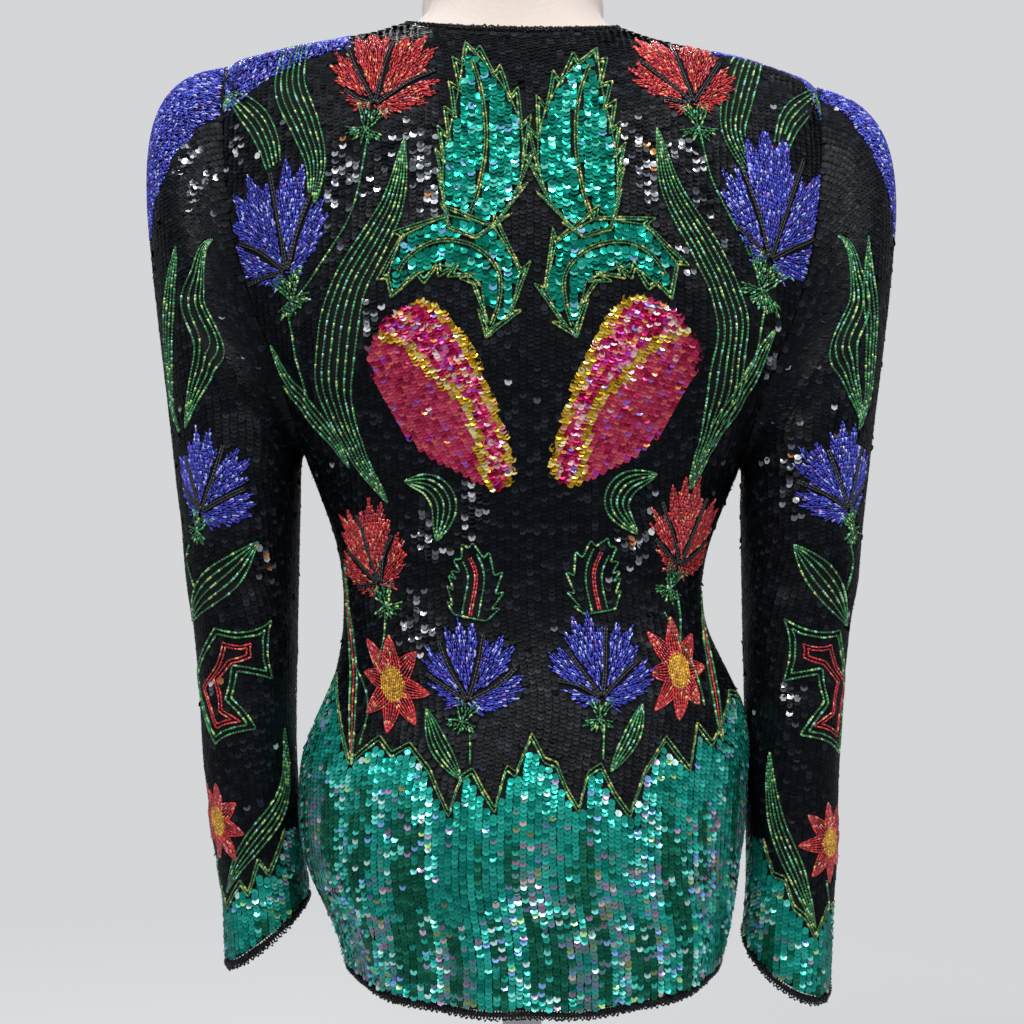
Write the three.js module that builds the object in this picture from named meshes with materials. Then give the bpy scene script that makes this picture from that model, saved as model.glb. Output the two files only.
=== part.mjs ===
// A fitted, long-sleeved, beaded evening top with padded shoulders, on a limbless dress form
// with a pole and a round base. Millimetres, +Z up. The origin is the centre of the base's
// underside. The wearer would face +Y, so the garment's back faces -Y and its left sleeve is at -X.
// Each cloth panel is a thin closed wall, cut where the real seams run: a back, two fronts that
// meet edge to edge, and two set-in sleeves, all finished with a rolled cord of black beads.
import * as THREE from "three";
import { mergeVertices } from "three/addons/utils/BufferGeometryUtils.js";

// Cloth and seams
const WALL = 2; // silk, its stitching and the bead layer together
const SEAM_GAP = 0.3;
const CORD_RADIUS = 2.3; // rolled bead edging
const CORD_SIDES = 6;
const FRONT_INSET = 2 * CORD_RADIUS + 2 * SEAM_GAP; // from the centre front to a front panel's edge

// Heights that the panels share
const HEM_SIDE_Z = 260;
const HEM_BACK_Z = 242;
const HEM_FRONT_Z = 250;
const HEM_LEVEL_Z = 310; // above this the rows of the cloth run level
const UNDERARM_Z = 574;
const SHOULDER_POINT_Z = 821;
const NECK_SIDE_Z = 852;
const NECK_BACK_Z = 838;
const NECK_FRONT_Z = 775;

// The cloth's outer form: half width, depth behind and in front of the side seams, and how
// square the section is. Between underarm and shoulder the half width is that of the whole
// shoulder, which the armhole cuts off.
const SECTIONS = [
  { z: 236, half: 118, back: 97, front: 95, power: 2.15 },
  { z: 253, half: 120, back: 99, front: 96, power: 2.15 },
  { z: 279, half: 127, back: 103, front: 98, power: 2.15 },
  { z: 317, half: 138.5, back: 107, front: 98, power: 2.15 },
  { z: 350, half: 143.5, back: 107, front: 96, power: 2.15 },
  { z: 381, half: 143.5, back: 101, front: 92, power: 2.15 },
  { z: 407, half: 138, back: 93, front: 88, power: 2.15 },
  { z: 433, half: 128, back: 84, front: 84, power: 2.15 },
  { z: 458, half: 119, back: 77, front: 81, power: 2.15 },
  { z: 484, half: 114.2, back: 74, front: 80, power: 2.15 },
  { z: 509, half: 116.5, back: 75, front: 84, power: 2.15 },
  { z: 535, half: 124.5, back: 79, front: 92, power: 2.15 },
  { z: 560, half: 134, back: 84, front: 101, power: 2.2 },
  { z: 574, half: 139.5, back: 86.5, front: 104, power: 2.2 },
  { z: 590, half: 150, back: 89, front: 107, power: 2.2 },
  { z: 604, half: 160, back: 91, front: 108, power: 2.25 },
  { z: 625, half: 174, back: 94, front: 106, power: 2.3 },
  { z: 655, half: 192, back: 96, front: 99, power: 2.3 },
  { z: 700, half: 207, back: 97, front: 87, power: 2.3 },
  { z: 740, half: 207, back: 94, front: 73, power: 2.3 },
  { z: 780, half: 200, back: 86, front: 58, power: 2.3 },
  { z: 800, half: 194.5, back: 79, front: 51, power: 2.3 },
  { z: 812, half: 190.5, back: 73, front: 46, power: 2.25 },
  { z: 821, half: 188, back: 69, front: 43.5, power: 2.2 },
  { z: 829, half: 172, back: 65, front: 41, power: 2.15 },
  { z: 832.5, half: 153, back: 61, front: 38.5, power: 2.1 },
  { z: 838, half: 122, back: 57, front: 35.5, power: 2.05 },
  { z: 844, half: 94, back: 53, front: 32.5, power: 2 },
  { z: 848, half: 80, back: 50, front: 30.5, power: 2 },
  { z: 852, half: 70, back: 48, front: 29, power: 2 },
];

// The armhole seam, seen from behind and from the front: how far out it runs at each height
const ARMHOLES = [
  { z: 574, back: 139.5, front: 139.5 },
  { z: 590, back: 142.5, front: 141.5 },
  { z: 604, back: 146.5, front: 144.5 },
  { z: 625, back: 152, front: 148 },
  { z: 655, back: 164, front: 156 },
  { z: 700, back: 178, front: 167 },
  { z: 740, back: 184.5, front: 175 },
  { z: 780, back: 188, front: 183 },
  { z: 800, back: 189, front: 187.5 },
  { z: 812, back: 189, front: 188.8 },
  { z: 821, back: 188, front: 188 },
];

// The sleeve below the armhole, ring by ring
const SLEEVE_RINGS = [
  { z: 240, x: 168, y: 24, half: 29.5, deep: 40 },
  { z: 266, x: 169.5, y: 23, half: 29, deep: 40.5 },
  { z: 292, x: 171.5, y: 21, half: 28, deep: 41 },
  { z: 330, x: 174.6, y: 18, half: 29, deep: 42 },
  { z: 356, x: 175.4, y: 15, half: 29.2, deep: 43 },
  { z: 381, x: 176, y: 12, half: 29.6, deep: 44 },
  { z: 420, x: 176.6, y: 8, half: 30.6, deep: 46 },
  { z: 484, x: 178.5, y: 4, half: 34.3, deep: 51 },
  { z: 548, x: 181.6, y: 2, half: 38.8, deep: 57 },
];
const SLEEVE_TOP_Z = 548; // the first full ring under the armhole
const SHOULDER_MIDDLE = new THREE.Vector3(150, 0, 690); // inside the armhole
// Each cuff's middle height, how far its point hangs, and where, from the outside to the back
const CUFFS = {
  left: { z: 266, slant: 23, turn: 0.15 },
  right: { z: 257, slant: 20, turn: 0.75 },
};
const CAP = { reach: 75, lift: -12, droop: 190, bulge: 20, underReach: 5, underDroop: 10 };
const CAP_FACING_Z = 570; // above this the sleeve's surface faces away from the shoulder's middle
const CAP_ROWS = 9;
const ARM_ROWS = 14;

// The right shoulder and sleeve sit a little lower than the left ones
const SHOULDER_TILT = { flat: 0.014, growing: 0.00011 };
const TILT_FROM_Z = 440;
const TILT_FULL_Z = 580;
const NECK_SHIFT = { x: -6, fromZ: 790, fullZ: 850, outerX: 150, innerX: 90 };
const HIP_SWAY = { x: 7, z: 425, high: 38 }; // the right hip flares out sooner
const HEM_SWAY = { x: 7, fromZ: 330, fullZ: 262 }; // and the hem swings to the right
const SLEEVE_SWING = { upper: -1, lower: 5, fromZ: 400, fullZ: 260 };
const FIRST_FOLDED_ROW = 1; // rows of the sleeve where its folds and swing set in
const FULLY_FOLDED_ROW = 6;

// Soft bust fullness in the fronts
const BUST = { x: 72, z: 612, depth: 11, wide: 46, high: 50 };

// The largest folds of the body, seen from behind or from the front: outward ridges
const BODY_FOLDS = [
  { side: -1, x: -130, z: 632, turn: 1.2, long: 62, wide: 15, high: 4.6 },
  { side: -1, x: 132, z: 626, turn: -1.15, long: 68, wide: 15, high: 4.8 },
  { side: -1, x: -96, z: 660, turn: 1.05, long: 56, wide: 16, high: 3 },
  { side: -1, x: 98, z: 668, turn: -1, long: 60, wide: 16, high: 3.2 },
  { side: -1, x: -92, z: 505, turn: 0.5, long: 48, wide: 17, high: 3.6 },
  { side: -1, x: 84, z: 516, turn: -0.42, long: 52, wide: 16, high: 3.8 },
  { side: -1, x: -66, z: 452, turn: -0.35, long: 52, wide: 17, high: 3.2 },
  { side: -1, x: 76, z: 448, turn: 0.4, long: 46, wide: 16, high: 3.4 },
  { side: 1, x: -126, z: 640, turn: -1.15, long: 62, wide: 15, high: 4.4 },
  { side: 1, x: 128, z: 634, turn: 1.1, long: 58, wide: 15, high: 4.4 },
  { side: 1, x: -84, z: 512, turn: -0.45, long: 50, wide: 17, high: 3.6 },
  { side: 1, x: 90, z: 506, turn: 0.5, long: 54, wide: 16, high: 3.8 },
];
const FLUTES = { count: 11, depth: 4.2, fromZ: 400, fullZ: 290 };

// Folds round the sleeves: turns are in radians from the outer side, towards the back
const SLEEVE_FOLDS = [
  { turn: 1.9, z: 630, slope: -30, long: 1, wide: 17, high: 5 },
  { turn: 2.2, z: 582, slope: -22, long: 0.9, wide: 15, high: 4.2 },
  { turn: 0.9, z: 512, slope: 18, long: 0.9, wide: 16, high: 3.4 },
  { turn: 2.4, z: 470, slope: -14, long: 0.9, wide: 15, high: 3.6 },
  { turn: -1.8, z: 596, slope: 24, long: 1, wide: 16, high: 4.4 },
  { turn: -1.7, z: 486, slope: 16, long: 1, wide: 16, high: 3.8 },
  { turn: -2.1, z: 436, slope: 18, long: 0.8, wide: 15, high: 3.4 },
  { turn: 1.5, z: 404, slope: 16, long: 0.9, wide: 16, high: 2.8 },
  { turn: -0.8, z: 352, slope: -14, long: 0.9, wide: 15, high: 2.4 },
];
const SLEEVE_FOLD_SHIFT = 9; // right sleeve's folds higher, left sleeve's lower
const SLEEVE_FOLDS_TOP = { fromZ: 700, fullZ: 650 };
const UNDERARM_SMOOTH = 0.5; // radians either side of the underarm that stay free of folds

// Dress form, pole and base
const FORM = { bottomZ: 306, bottomScale: 0.985, chest: 2.4, shoulder: 3.8, hips: 9, neckline: 11.5 };
const FORM_HIPS = { fromZ: 400, fullZ: 500 }; // heights between which the clearances change
const FORM_SHOULDERS = { fromZ: 740, fullZ: 790 };
const NECK = { z: [866, 884, 902], half: [59.5, 57, 56], back: [46, 46, 46], front: [41, 44, 47] };
const NECK_TOP_ROUND = 4;
const COLLAR = { radius: 46, neckRadius: 20, height: 16, flange: 4, taper: 2, step: 1 };
const POLE_RADIUS = 12.5;
const BASE = { radius: 160, height: 9, rim: 3, bossRadius: 30, bossHeight: 22, fillet: 8, toe: 3 };

// Mesh steps
const HALF_COLUMNS = 11;
const SLEEVE_COLUMNS = 20;
const FORM_COLUMNS = 36;
const LATHE_STEPS = 40;

const smoothstep = (from, to, value) => {
  const t = Math.min(1, Math.max(0, (value - from) / (to - from)));
  return t * t * (3 - 2 * t);
};
const bell = (value) => Math.exp(-value * value);
const spread = (from, to, count) =>
  Array.from({ length: count }, (_, i) => from + ((to - from) * i) / count);

// A smooth curve through one column of a table, with no overshoot between its rows
function column(table, key) {
  const zs = table.map((row) => row.z);
  const values = table.map((row) => row[key]);
  const slope = (i) => (values[i + 1] - values[i]) / (zs[i + 1] - zs[i]);
  const tangents = values.map((_, i) => {
    if (i === 0) return slope(0);
    if (i === values.length - 1) return slope(i - 1);
    const before = slope(i - 1);
    const after = slope(i);
    return before * after <= 0 ? 0 : (2 * before * after) / (before + after);
  });
  return (z) => {
    const clamped = Math.min(zs[zs.length - 1], Math.max(zs[0], z));
    const i = Math.max(0, zs.findIndex((edge) => edge > clamped) - 1);
    const last = clamped >= zs[zs.length - 1] ? zs.length - 2 : i;
    const step = zs[last + 1] - zs[last];
    const t = (clamped - zs[last]) / step;
    const t2 = t * t;
    const t3 = t2 * t;
    return (
      (2 * t3 - 3 * t2 + 1) * values[last] +
      (t3 - 2 * t2 + t) * step * tangents[last] +
      (3 * t2 - 2 * t3) * values[last + 1] +
      (t3 - t2) * step * tangents[last + 1]
    );
  };
}

const halfAt = column(SECTIONS, "half");
const depthAt = { "-1": column(SECTIONS, "back"), "1": column(SECTIONS, "front") };
const powerAt = column(SECTIONS, "power");
const armholeAt = { "-1": column(ARMHOLES, "back"), "1": column(ARMHOLES, "front") };
const ringAt = Object.fromEntries(
  ["x", "y", "half", "deep"].map((key) => [key, column(SLEEVE_RINGS, key)]),
);

// The whole garment's lean and swing, the same for every piece of cloth
function settle(point, isSleeve) {
  const tilt = isSleeve ? 1 : smoothstep(TILT_FROM_Z, TILT_FULL_Z, point.z);
  const hip = HIP_SWAY.x * bell((point.z - HIP_SWAY.z) / HIP_SWAY.high);
  const sway = hip + HEM_SWAY.x * smoothstep(HEM_SWAY.fromZ, HEM_SWAY.fullZ, point.z);
  const nearNeck =
    smoothstep(NECK_SHIFT.fromZ, NECK_SHIFT.fullZ, point.z) *
    smoothstep(NECK_SHIFT.outerX, NECK_SHIFT.innerX, Math.abs(point.x));
  const shift = isSleeve ? 0 : sway + NECK_SHIFT.x * nearNeck;
  const slope = SHOULDER_TILT.flat + SHOULDER_TILT.growing * Math.abs(point.x);
  return new THREE.Vector3(point.x + shift, point.y, point.z - slope * tilt * point.x);
}

// How far the cloth's folds lift it at a point of the back (side -1) or the fronts (side 1)
function bodyRelief(side, x, z) {
  let lift = 0;
  for (const fold of BODY_FOLDS) {
    if (fold.side !== side) continue;
    const dx = x - fold.x;
    const dz = z - fold.z;
    const along = dx * Math.cos(fold.turn) + dz * Math.sin(fold.turn);
    const across = dz * Math.cos(fold.turn) - dx * Math.sin(fold.turn);
    lift += fold.high * bell(along / fold.long) * bell(across / fold.wide);
  }
  const turn = Math.asin(Math.min(1, Math.abs(x) / halfAt(z)));
  const fluted = FLUTES.depth * smoothstep(FLUTES.fromZ, FLUTES.fullZ, z);
  const phase = turn * FLUTES.count + 0.5 * Math.sin(3 * turn + (x > 0 ? 1 : 0));
  return lift + fluted * 0.5 * (1 - Math.cos(phase)) * Math.cos(turn);
}

// The rows of a half panel, from hem to neck. Each runs from the centre line at height centre to
// the edge at height edge: up the side seam, round the armhole and along the shoulder seam.
const HEM_ROWS = 3;
const SIDE_ROWS = 10;
const ARMHOLE_ROWS = SLEEVE_COLUMNS / 2;
const SHOULDER_ROWS = 5;
const UNDERARM_DIP = { back: 2, front: 10 }; // centre below the side seam, at the underarm
const ARMHOLE_SPAN_CUT = 0.76; // keeps the rows from running along the armhole
const armholeHeight = (t) =>
  UNDERARM_Z + (SHOULDER_POINT_Z - UNDERARM_Z) * (0.5 - 0.5 * Math.cos(Math.PI * t));
function panelRows(side) {
  const hemCentre = side < 0 ? HEM_BACK_Z : HEM_FRONT_Z;
  const neckCentre = side < 0 ? NECK_BACK_Z : NECK_FRONT_Z;
  const centreAtUnderarm = UNDERARM_Z - (side < 0 ? UNDERARM_DIP.back : UNDERARM_DIP.front);
  const rows = [];
  const hemEdges = spread(HEM_SIDE_Z, HEM_LEVEL_Z, HEM_ROWS);
  const sideEdges = spread(HEM_LEVEL_Z, UNDERARM_Z, SIDE_ROWS);
  for (const edge of [...hemEdges, ...sideEdges]) {
    const dip = (HEM_SIDE_Z - hemCentre) * (1 - smoothstep(HEM_SIDE_Z, HEM_LEVEL_Z, edge));
    const settleDown = (UNDERARM_Z - centreAtUnderarm) * smoothstep(HEM_LEVEL_Z, UNDERARM_Z, edge);
    rows.push({ edge, centre: edge - dip - settleDown, onSeam: true, span: Math.PI / 2 });
  }
  const upper = ARMHOLE_ROWS + SHOULDER_ROWS;
  for (let i = 0; i <= upper; i++) {
    const share = i / upper;
    const centre = centreAtUnderarm + (neckCentre - centreAtUnderarm) * share;
    const inArmhole = i < ARMHOLE_ROWS;
    const t = inArmhole ? i / ARMHOLE_ROWS : (i - ARMHOLE_ROWS) / SHOULDER_ROWS;
    const edge = inArmhole
      ? armholeHeight(t)
      : SHOULDER_POINT_Z + (NECK_SIDE_Z - SHOULDER_POINT_Z) * t;
    const narrowed = inArmhole ? ARMHOLE_SPAN_CUT * Math.sin(Math.PI * t) : 0;
    rows.push({ edge, centre, onSeam: i === 0 || !inArmhole, span: Math.PI / 2 - narrowed });
  }
  return rows;
}

// A point of the smooth form of the back or front, before the garment's lean. s runs from 0 at the
// centre line to 1 at the panel's outer edge, and inset keeps the fronts apart.
function bodyPoint(side, row, s, inset) {
  const reach = row.onSeam ? halfAt(row.edge) : armholeAt[side](row.edge);
  const turn = s * row.span;
  const x = inset + ((reach - inset) * Math.sin(turn)) / Math.sin(row.span);
  const z = row.centre + ((row.edge - row.centre) * (1 - Math.cos(turn))) / (1 - Math.cos(row.span));
  const power = powerAt(z);
  const share = Math.min(1, x / halfAt(z));
  let depth = depthAt[side](z) * (1 - share ** power) ** (1 / power);
  if (side > 0) depth += BUST.depth * bell((x - BUST.x) / BUST.wide) * bell((z - BUST.z) / BUST.high);
  return new THREE.Vector3(x, side * (SEAM_GAP / 2 + depth), z);
}

// A rough outward direction of the body's cloth: up on the shoulders, away from the axis below
const bodyOutward = (p) => new THREE.Vector3(p.x, p.y * 1.4, p.z > SHOULDER_POINT_Z ? 60 : 0);

// Unit normals of a grid of points, by the differences between neighbours. outward is a function
// that gives a rough outward direction at a point.
function gridNormals(grid, outward, wrapped) {
  const rows = grid.length;
  const columns = grid[0].length;
  return grid.map((line, j) =>
    line.map((point, i) => {
      const before = wrapped ? line[(i + columns - 1) % columns] : line[Math.max(0, i - 1)];
      const after = wrapped ? line[(i + 1) % columns] : line[Math.min(columns - 1, i + 1)];
      const across = after.clone().sub(before);
      const along = grid[Math.min(rows - 1, j + 1)][i].clone().sub(grid[Math.max(0, j - 1)][i]);
      const normal = across.cross(along).normalize();
      return normal.dot(outward(point)) < 0 ? normal.negate() : normal;
    }),
  );
}

// A closed wall between an outer and an inner grid of points, open or joined into a tube
function wall(outer, inner, wrapped) {
  const rows = outer.length;
  const columns = outer[0].length;
  const points = [...outer.flat(), ...inner.flat()];
  const at = (layer, j, i) => layer * rows * columns + j * columns + (i % columns);
  const faces = [];
  const quad = (a, b, c, d) => faces.push(a, b, c, a, c, d);
  const last = wrapped ? columns : columns - 1;
  for (let i = 0; i < last; i++) {
    for (let j = 0; j < rows - 1; j++) {
      quad(at(0, j, i), at(0, j, i + 1), at(0, j + 1, i + 1), at(0, j + 1, i));
      quad(at(1, j, i), at(1, j + 1, i), at(1, j + 1, i + 1), at(1, j, i + 1));
    }
    quad(at(0, 0, i), at(1, 0, i), at(1, 0, i + 1), at(0, 0, i + 1));
    const top = rows - 1;
    quad(at(0, top, i), at(0, top, i + 1), at(1, top, i + 1), at(1, top, i));
  }
  if (!wrapped) {
    for (let j = 0; j < rows - 1; j++) {
      const end = columns - 1;
      quad(at(0, j, 0), at(0, j + 1, 0), at(1, j + 1, 0), at(1, j, 0));
      quad(at(0, j, end), at(1, j, end), at(1, j + 1, end), at(0, j + 1, end));
    }
  }
  return facing(points, faces);
}

// A geometry of points and faces, turned so that its faces point out
function facing(points, faces) {
  let volume = 0;
  for (let i = 0; i < faces.length; i += 3) {
    const [a, b, c] = [0, 1, 2].map((k) => points[faces[i + k]]);
    volume += a.dot(b.clone().cross(c));
  }
  const [second, third] = volume < 0 ? [2, 1] : [1, 2];
  const ordered = [];
  for (let i = 0; i < faces.length; i += 3) {
    ordered.push(faces[i], faces[i + second], faces[i + third]);
  }
  const geometry = new THREE.BufferGeometry().setFromPoints(points);
  geometry.setIndex(ordered);
  const merged = mergeVertices(geometry, 1e-4);
  merged.computeVertexNormals();
  return merged;
}

// Folds die out at the outer edge of a panel, so that its seam meets its neighbour's
const edgeFade = (i) => smoothstep(0, 3, HALF_COLUMNS - i);

// One half of the back or the fronts as a grid of outer points and normals
function halfPanel(side, inset, isMirrored) {
  const rows = panelRows(side);
  const mirror = isMirrored ? -1 : 1;
  const smooth = rows.map((row) =>
    Array.from({ length: HALF_COLUMNS + 1 }, (_, i) => bodyPoint(side, row, i / HALF_COLUMNS, inset)),
  );
  const normals = gridNormals(smooth, bodyOutward, false);
  rows.forEach((row, j) => {
    if (row.onSeam) normals[j][HALF_COLUMNS].setY(0).normalize();
    normals[j][0].setX(0).normalize();
  });
  const lifted = smooth.map((line, j) =>
    line.map((p, i) => {
      const lift = edgeFade(i) * bodyRelief(side, mirror * p.x, p.z);
      return p.clone().addScaledVector(normals[j][i], lift);
    }),
  );
  const flip = (v) => new THREE.Vector3(mirror * v.x, v.y, v.z);
  return { points: lifted.map((l) => l.map(flip)), normals: normals.map((l) => l.map(flip)) };
}

// The wall of a panel from its outer points and normals
function panelWall(points, normals) {
  const inner = points.map((line, j) =>
    line.map((p, i) => settle(p.clone().addScaledVector(normals[j][i], -WALL), false)),
  );
  const outer = points.map((line) => line.map((p) => settle(p, false)));
  return wall(outer, inner, false);
}

const backRight = halfPanel(-1, 0, false);
const backLeft = halfPanel(-1, 0, true);
const backPoints = backLeft.points.map((line, j) => [
  ...line.slice(1).reverse(),
  ...backRight.points[j],
]);
const backNormals = backLeft.normals.map((line, j) => [
  ...line.slice(1).reverse(),
  ...backRight.normals[j],
]);
const frontRight = halfPanel(1, FRONT_INSET, false);
const frontLeft = halfPanel(1, FRONT_INSET, true);

// The armhole as a closed loop of points at x > 0: up the back edge, then down the front edge.
// It stands clear of the body panels by the seam's gap.
function armholeLoop() {
  const loop = [];
  for (let i = 0; i < SLEEVE_COLUMNS; i++) {
    const side = i <= ARMHOLE_ROWS ? -1 : 1;
    const z = armholeHeight((side < 0 ? i : SLEEVE_COLUMNS - i) / ARMHOLE_ROWS);
    const point = bodyPoint(side, { edge: z, centre: z, onSeam: false, span: Math.PI / 2 }, 1, 0);
    if (i === 0 || i === ARMHOLE_ROWS) point.setY(0);
    loop.push(point);
  }
  return loop;
}

// The sleeve's outer grid at x > 0, from the armhole down to the cuff
function sleeveGrid(mirror) {
  const loop = armholeLoop();
  const cuff = mirror < 0 ? CUFFS.left : CUFFS.right;
  const turnOf = (i) => Math.PI - (2 * Math.PI * i) / SLEEVE_COLUMNS; // pi is the underarm
  const ringPoint = (z, i) => {
    const turn = turnOf(i);
    const x = ringAt.x(z) + ringAt.half(z) * Math.cos(turn);
    return new THREE.Vector3(x, ringAt.y(z) - ringAt.deep(z) * Math.sin(turn), z);
  };
  const grid = [];
  for (let j = 0; j < CAP_ROWS; j++) {
    const t = j / CAP_ROWS;
    grid.push(
      loop.map((start, i) => {
        const outerShare = 0.5 + 0.5 * Math.cos(turnOf(i));
        const end = ringPoint(SLEEVE_TOP_Z, i);
        const reach = THREE.MathUtils.lerp(CAP.underReach, CAP.reach, outerShare);
        const droop = THREE.MathUtils.lerp(CAP.underDroop, CAP.droop, outerShare);
        const first = start.clone().add(new THREE.Vector3(SEAM_GAP, 0, 0));
        const second = first.clone().add(new THREE.Vector3(reach, 0, CAP.lift * outerShare));
        const third = end.clone().add(new THREE.Vector3(CAP.bulge * outerShare ** 2, 0, droop));
        return new THREE.CubicBezierCurve3(first, second, third, end).getPoint(t);
      }),
    );
  }
  for (let j = 0; j <= ARM_ROWS; j++) {
    const share = j / ARM_ROWS;
    grid.push(
      loop.map((_, i) => {
        const lowest = cuff.z - cuff.slant * Math.cos(turnOf(i) - cuff.turn);
        return ringPoint(THREE.MathUtils.lerp(SLEEVE_TOP_Z, lowest, share), i);
      }),
    );
  }
  return grid.map((line, j) =>
    line.map((p, i) => {
      const away = new THREE.Vector3(p.x - ringAt.x(p.z), p.y - ringAt.y(p.z), 0).normalize();
      const low = smoothstep(SLEEVE_SWING.fromZ, SLEEVE_SWING.fullZ, p.z);
      const swing = SLEEVE_SWING.upper + SLEEVE_SWING.lower * low;
      const folded = smoothstep(FIRST_FOLDED_ROW, FULLY_FOLDED_ROW, j);
      p.addScaledVector(away, folded * sleeveRelief(turnOf(i), p.z, mirror));
      return p.setX(p.x + mirror * swing * smoothstep(FIRST_FOLDED_ROW, CAP_ROWS, j));
    }),
  );
}

// How far a sleeve's folds lift it
function sleeveRelief(turn, z, mirror) {
  let lift = 0;
  for (const fold of SLEEVE_FOLDS) {
    const away = Math.atan2(Math.sin(turn - fold.turn), Math.cos(turn - fold.turn));
    const ridgeZ = fold.z + mirror * SLEEVE_FOLD_SHIFT + fold.slope * away;
    lift += fold.high * bell(away / fold.long) * bell((z - ridgeZ) / fold.wide);
  }
  const fromUnderarm = (sign) => 1 - bell((turn + sign * Math.PI) / UNDERARM_SMOOTH);
  const top = smoothstep(SLEEVE_FOLDS_TOP.fromZ, SLEEVE_FOLDS_TOP.fullZ, z);
  return lift * top * fromUnderarm(-1) * fromUnderarm(1);
}

// A closed sleeve wall. The cap's surface faces up, the arm's faces away from its middle.
function sleeveSurfaces(mirror) {
  const grid = sleeveGrid(mirror);
  const outward = (p) =>
    p.z > CAP_FACING_Z
      ? p.clone().sub(SHOULDER_MIDDLE)
      : new THREE.Vector3(p.x - ringAt.x(p.z), p.y - ringAt.y(p.z), 0);
  const normals = gridNormals(grid, outward, true);
  const flip = (v) => new THREE.Vector3(mirror * v.x, v.y, v.z);
  return { points: grid.map((l) => l.map(flip)), normals: normals.map((l) => l.map(flip)) };
}

function sleeveWall({ points, normals }) {
  const outer = points.map((line) => line.map((p) => settle(p, true)));
  const inner = points.map((line, j) =>
    line.map((p, i) => settle(p.clone().addScaledVector(normals[j][i], -WALL), true)),
  );
  return wall(outer, inner, true);
}

const sleeveRight = sleeveSurfaces(1);
const sleeveLeft = sleeveSurfaces(-1);

// A cord of beads along a cloth edge. Its centre is one radius and the gap beyond the edge, in
// the middle of the wall. before holds the row of cloth points next to the edge.
function edgeCord(edge, before, normals, isLoop, isSleeve) {
  const last = edge.length - 1;
  const centres = edge.map((p, i) => {
    const previous = edge[i === 0 ? (isLoop ? last : 0) : i - 1];
    const next = edge[i === last ? (isLoop ? 0 : last) : i + 1];
    const along = next.clone().sub(previous).normalize();
    const out = p.clone().sub(before[i]);
    out.addScaledVector(along, -out.dot(along)).normalize();
    const centre = p.clone().addScaledVector(out, CORD_RADIUS + SEAM_GAP);
    return settle(centre.addScaledVector(normals[i], -WALL / 2), isSleeve);
  });
  return tube(centres, CORD_RADIUS, isLoop);
}

// A closed tube with flat ends, or a ring, along a list of points
function tube(centres, radius, isLoop) {
  const count = centres.length;
  const rings = centres.map((centre, i) => {
    const before = isLoop ? centres[(i + count - 1) % count] : centres[Math.max(0, i - 1)];
    const after = isLoop ? centres[(i + 1) % count] : centres[Math.min(count - 1, i + 1)];
    const along = after.clone().sub(before).normalize();
    const helper = Math.abs(along.z) > 0.8 ? new THREE.Vector3(0, 1, 0) : new THREE.Vector3(0, 0, 1);
    const across = helper.clone().cross(along).normalize();
    const up = along.clone().cross(across);
    return Array.from({ length: CORD_SIDES }, (_, k) => {
      const turn = (2 * Math.PI * k) / CORD_SIDES;
      return centre
        .clone()
        .addScaledVector(across, radius * Math.cos(turn))
        .addScaledVector(up, radius * Math.sin(turn));
    });
  });
  const points = rings.flat();
  const faces = [];
  const spans = isLoop ? count : count - 1;
  for (let j = 0; j < spans; j++) {
    const next = (j + 1) % count;
    for (let k = 0; k < CORD_SIDES; k++) {
      const after = (k + 1) % CORD_SIDES;
      const [a, b] = [j * CORD_SIDES + k, j * CORD_SIDES + after];
      const [c, d] = [next * CORD_SIDES + after, next * CORD_SIDES + k];
      faces.push(a, b, c, a, c, d);
    }
  }
  if (!isLoop) {
    const end = (count - 1) * CORD_SIDES;
    for (let k = 1; k < CORD_SIDES - 1; k++) {
      faces.push(0, k + 1, k, end, end + k, end + k + 1);
    }
  }
  return facing(points, faces);
}

// The neck and hem edges run from the right centre front round the back to the left centre front.
// isTop picks the neck, and the fronts' first column is drawn in to the centre front.
function roundEdge(isTop) {
  const row = isTop ? frontRight.points.length - 1 : 0;
  const step = isTop ? -1 : 1;
  const parts = [frontRight, { points: backPoints, normals: backNormals }, frontLeft];
  const edge = [];
  const before = [];
  const normals = [];
  parts.forEach((part, which) => {
    const isBack = which === 1;
    const indices = [...part.points[row].keys()];
    if (isBack) indices.reverse();
    if (which === 2) indices.reverse();
    const kept = isBack ? indices.slice(1, -1) : indices;
    for (const i of kept) {
      edge.push(part.points[row][i]);
      before.push(part.points[row + step][i]);
      normals.push(part.normals[row][i]);
    }
  });
  const toCentre = (list, from, place) => {
    const end = list[from].clone();
    end.x = Math.sign(end.x) * SEAM_GAP;
    place(end);
  };
  for (const list of [edge, before]) {
    toCentre(list, 0, (p) => list.unshift(p));
    toCentre(list, list.length - 1, (p) => list.push(p));
  }
  normals.unshift(normals[0]);
  normals.push(normals[normals.length - 1]);
  return edgeCord(edge, before, normals, false, false);
}

function frontEdge(panel) {
  const edge = panel.points.map((line) => line[0]);
  const before = panel.points.map((line) => line[1].clone().setZ(line[0].z));
  return edgeCord(edge, before, panel.normals.map((line) => line[0]), false, false);
}

function cuffEdge(sleeve) {
  const last = sleeve.points.length - 1;
  return edgeCord(sleeve.points[last], sleeve.points[last - 1], sleeve.normals[last], true, true);
}

// Points at even distances along a closed loop
function resampled(loop, count) {
  const curve = new THREE.CurvePath();
  loop.forEach((p, i) => curve.add(new THREE.LineCurve3(p, loop[(i + 1) % loop.length])));
  return Array.from({ length: count }, (_, i) => curve.getPoint(i / count));
}

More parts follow.
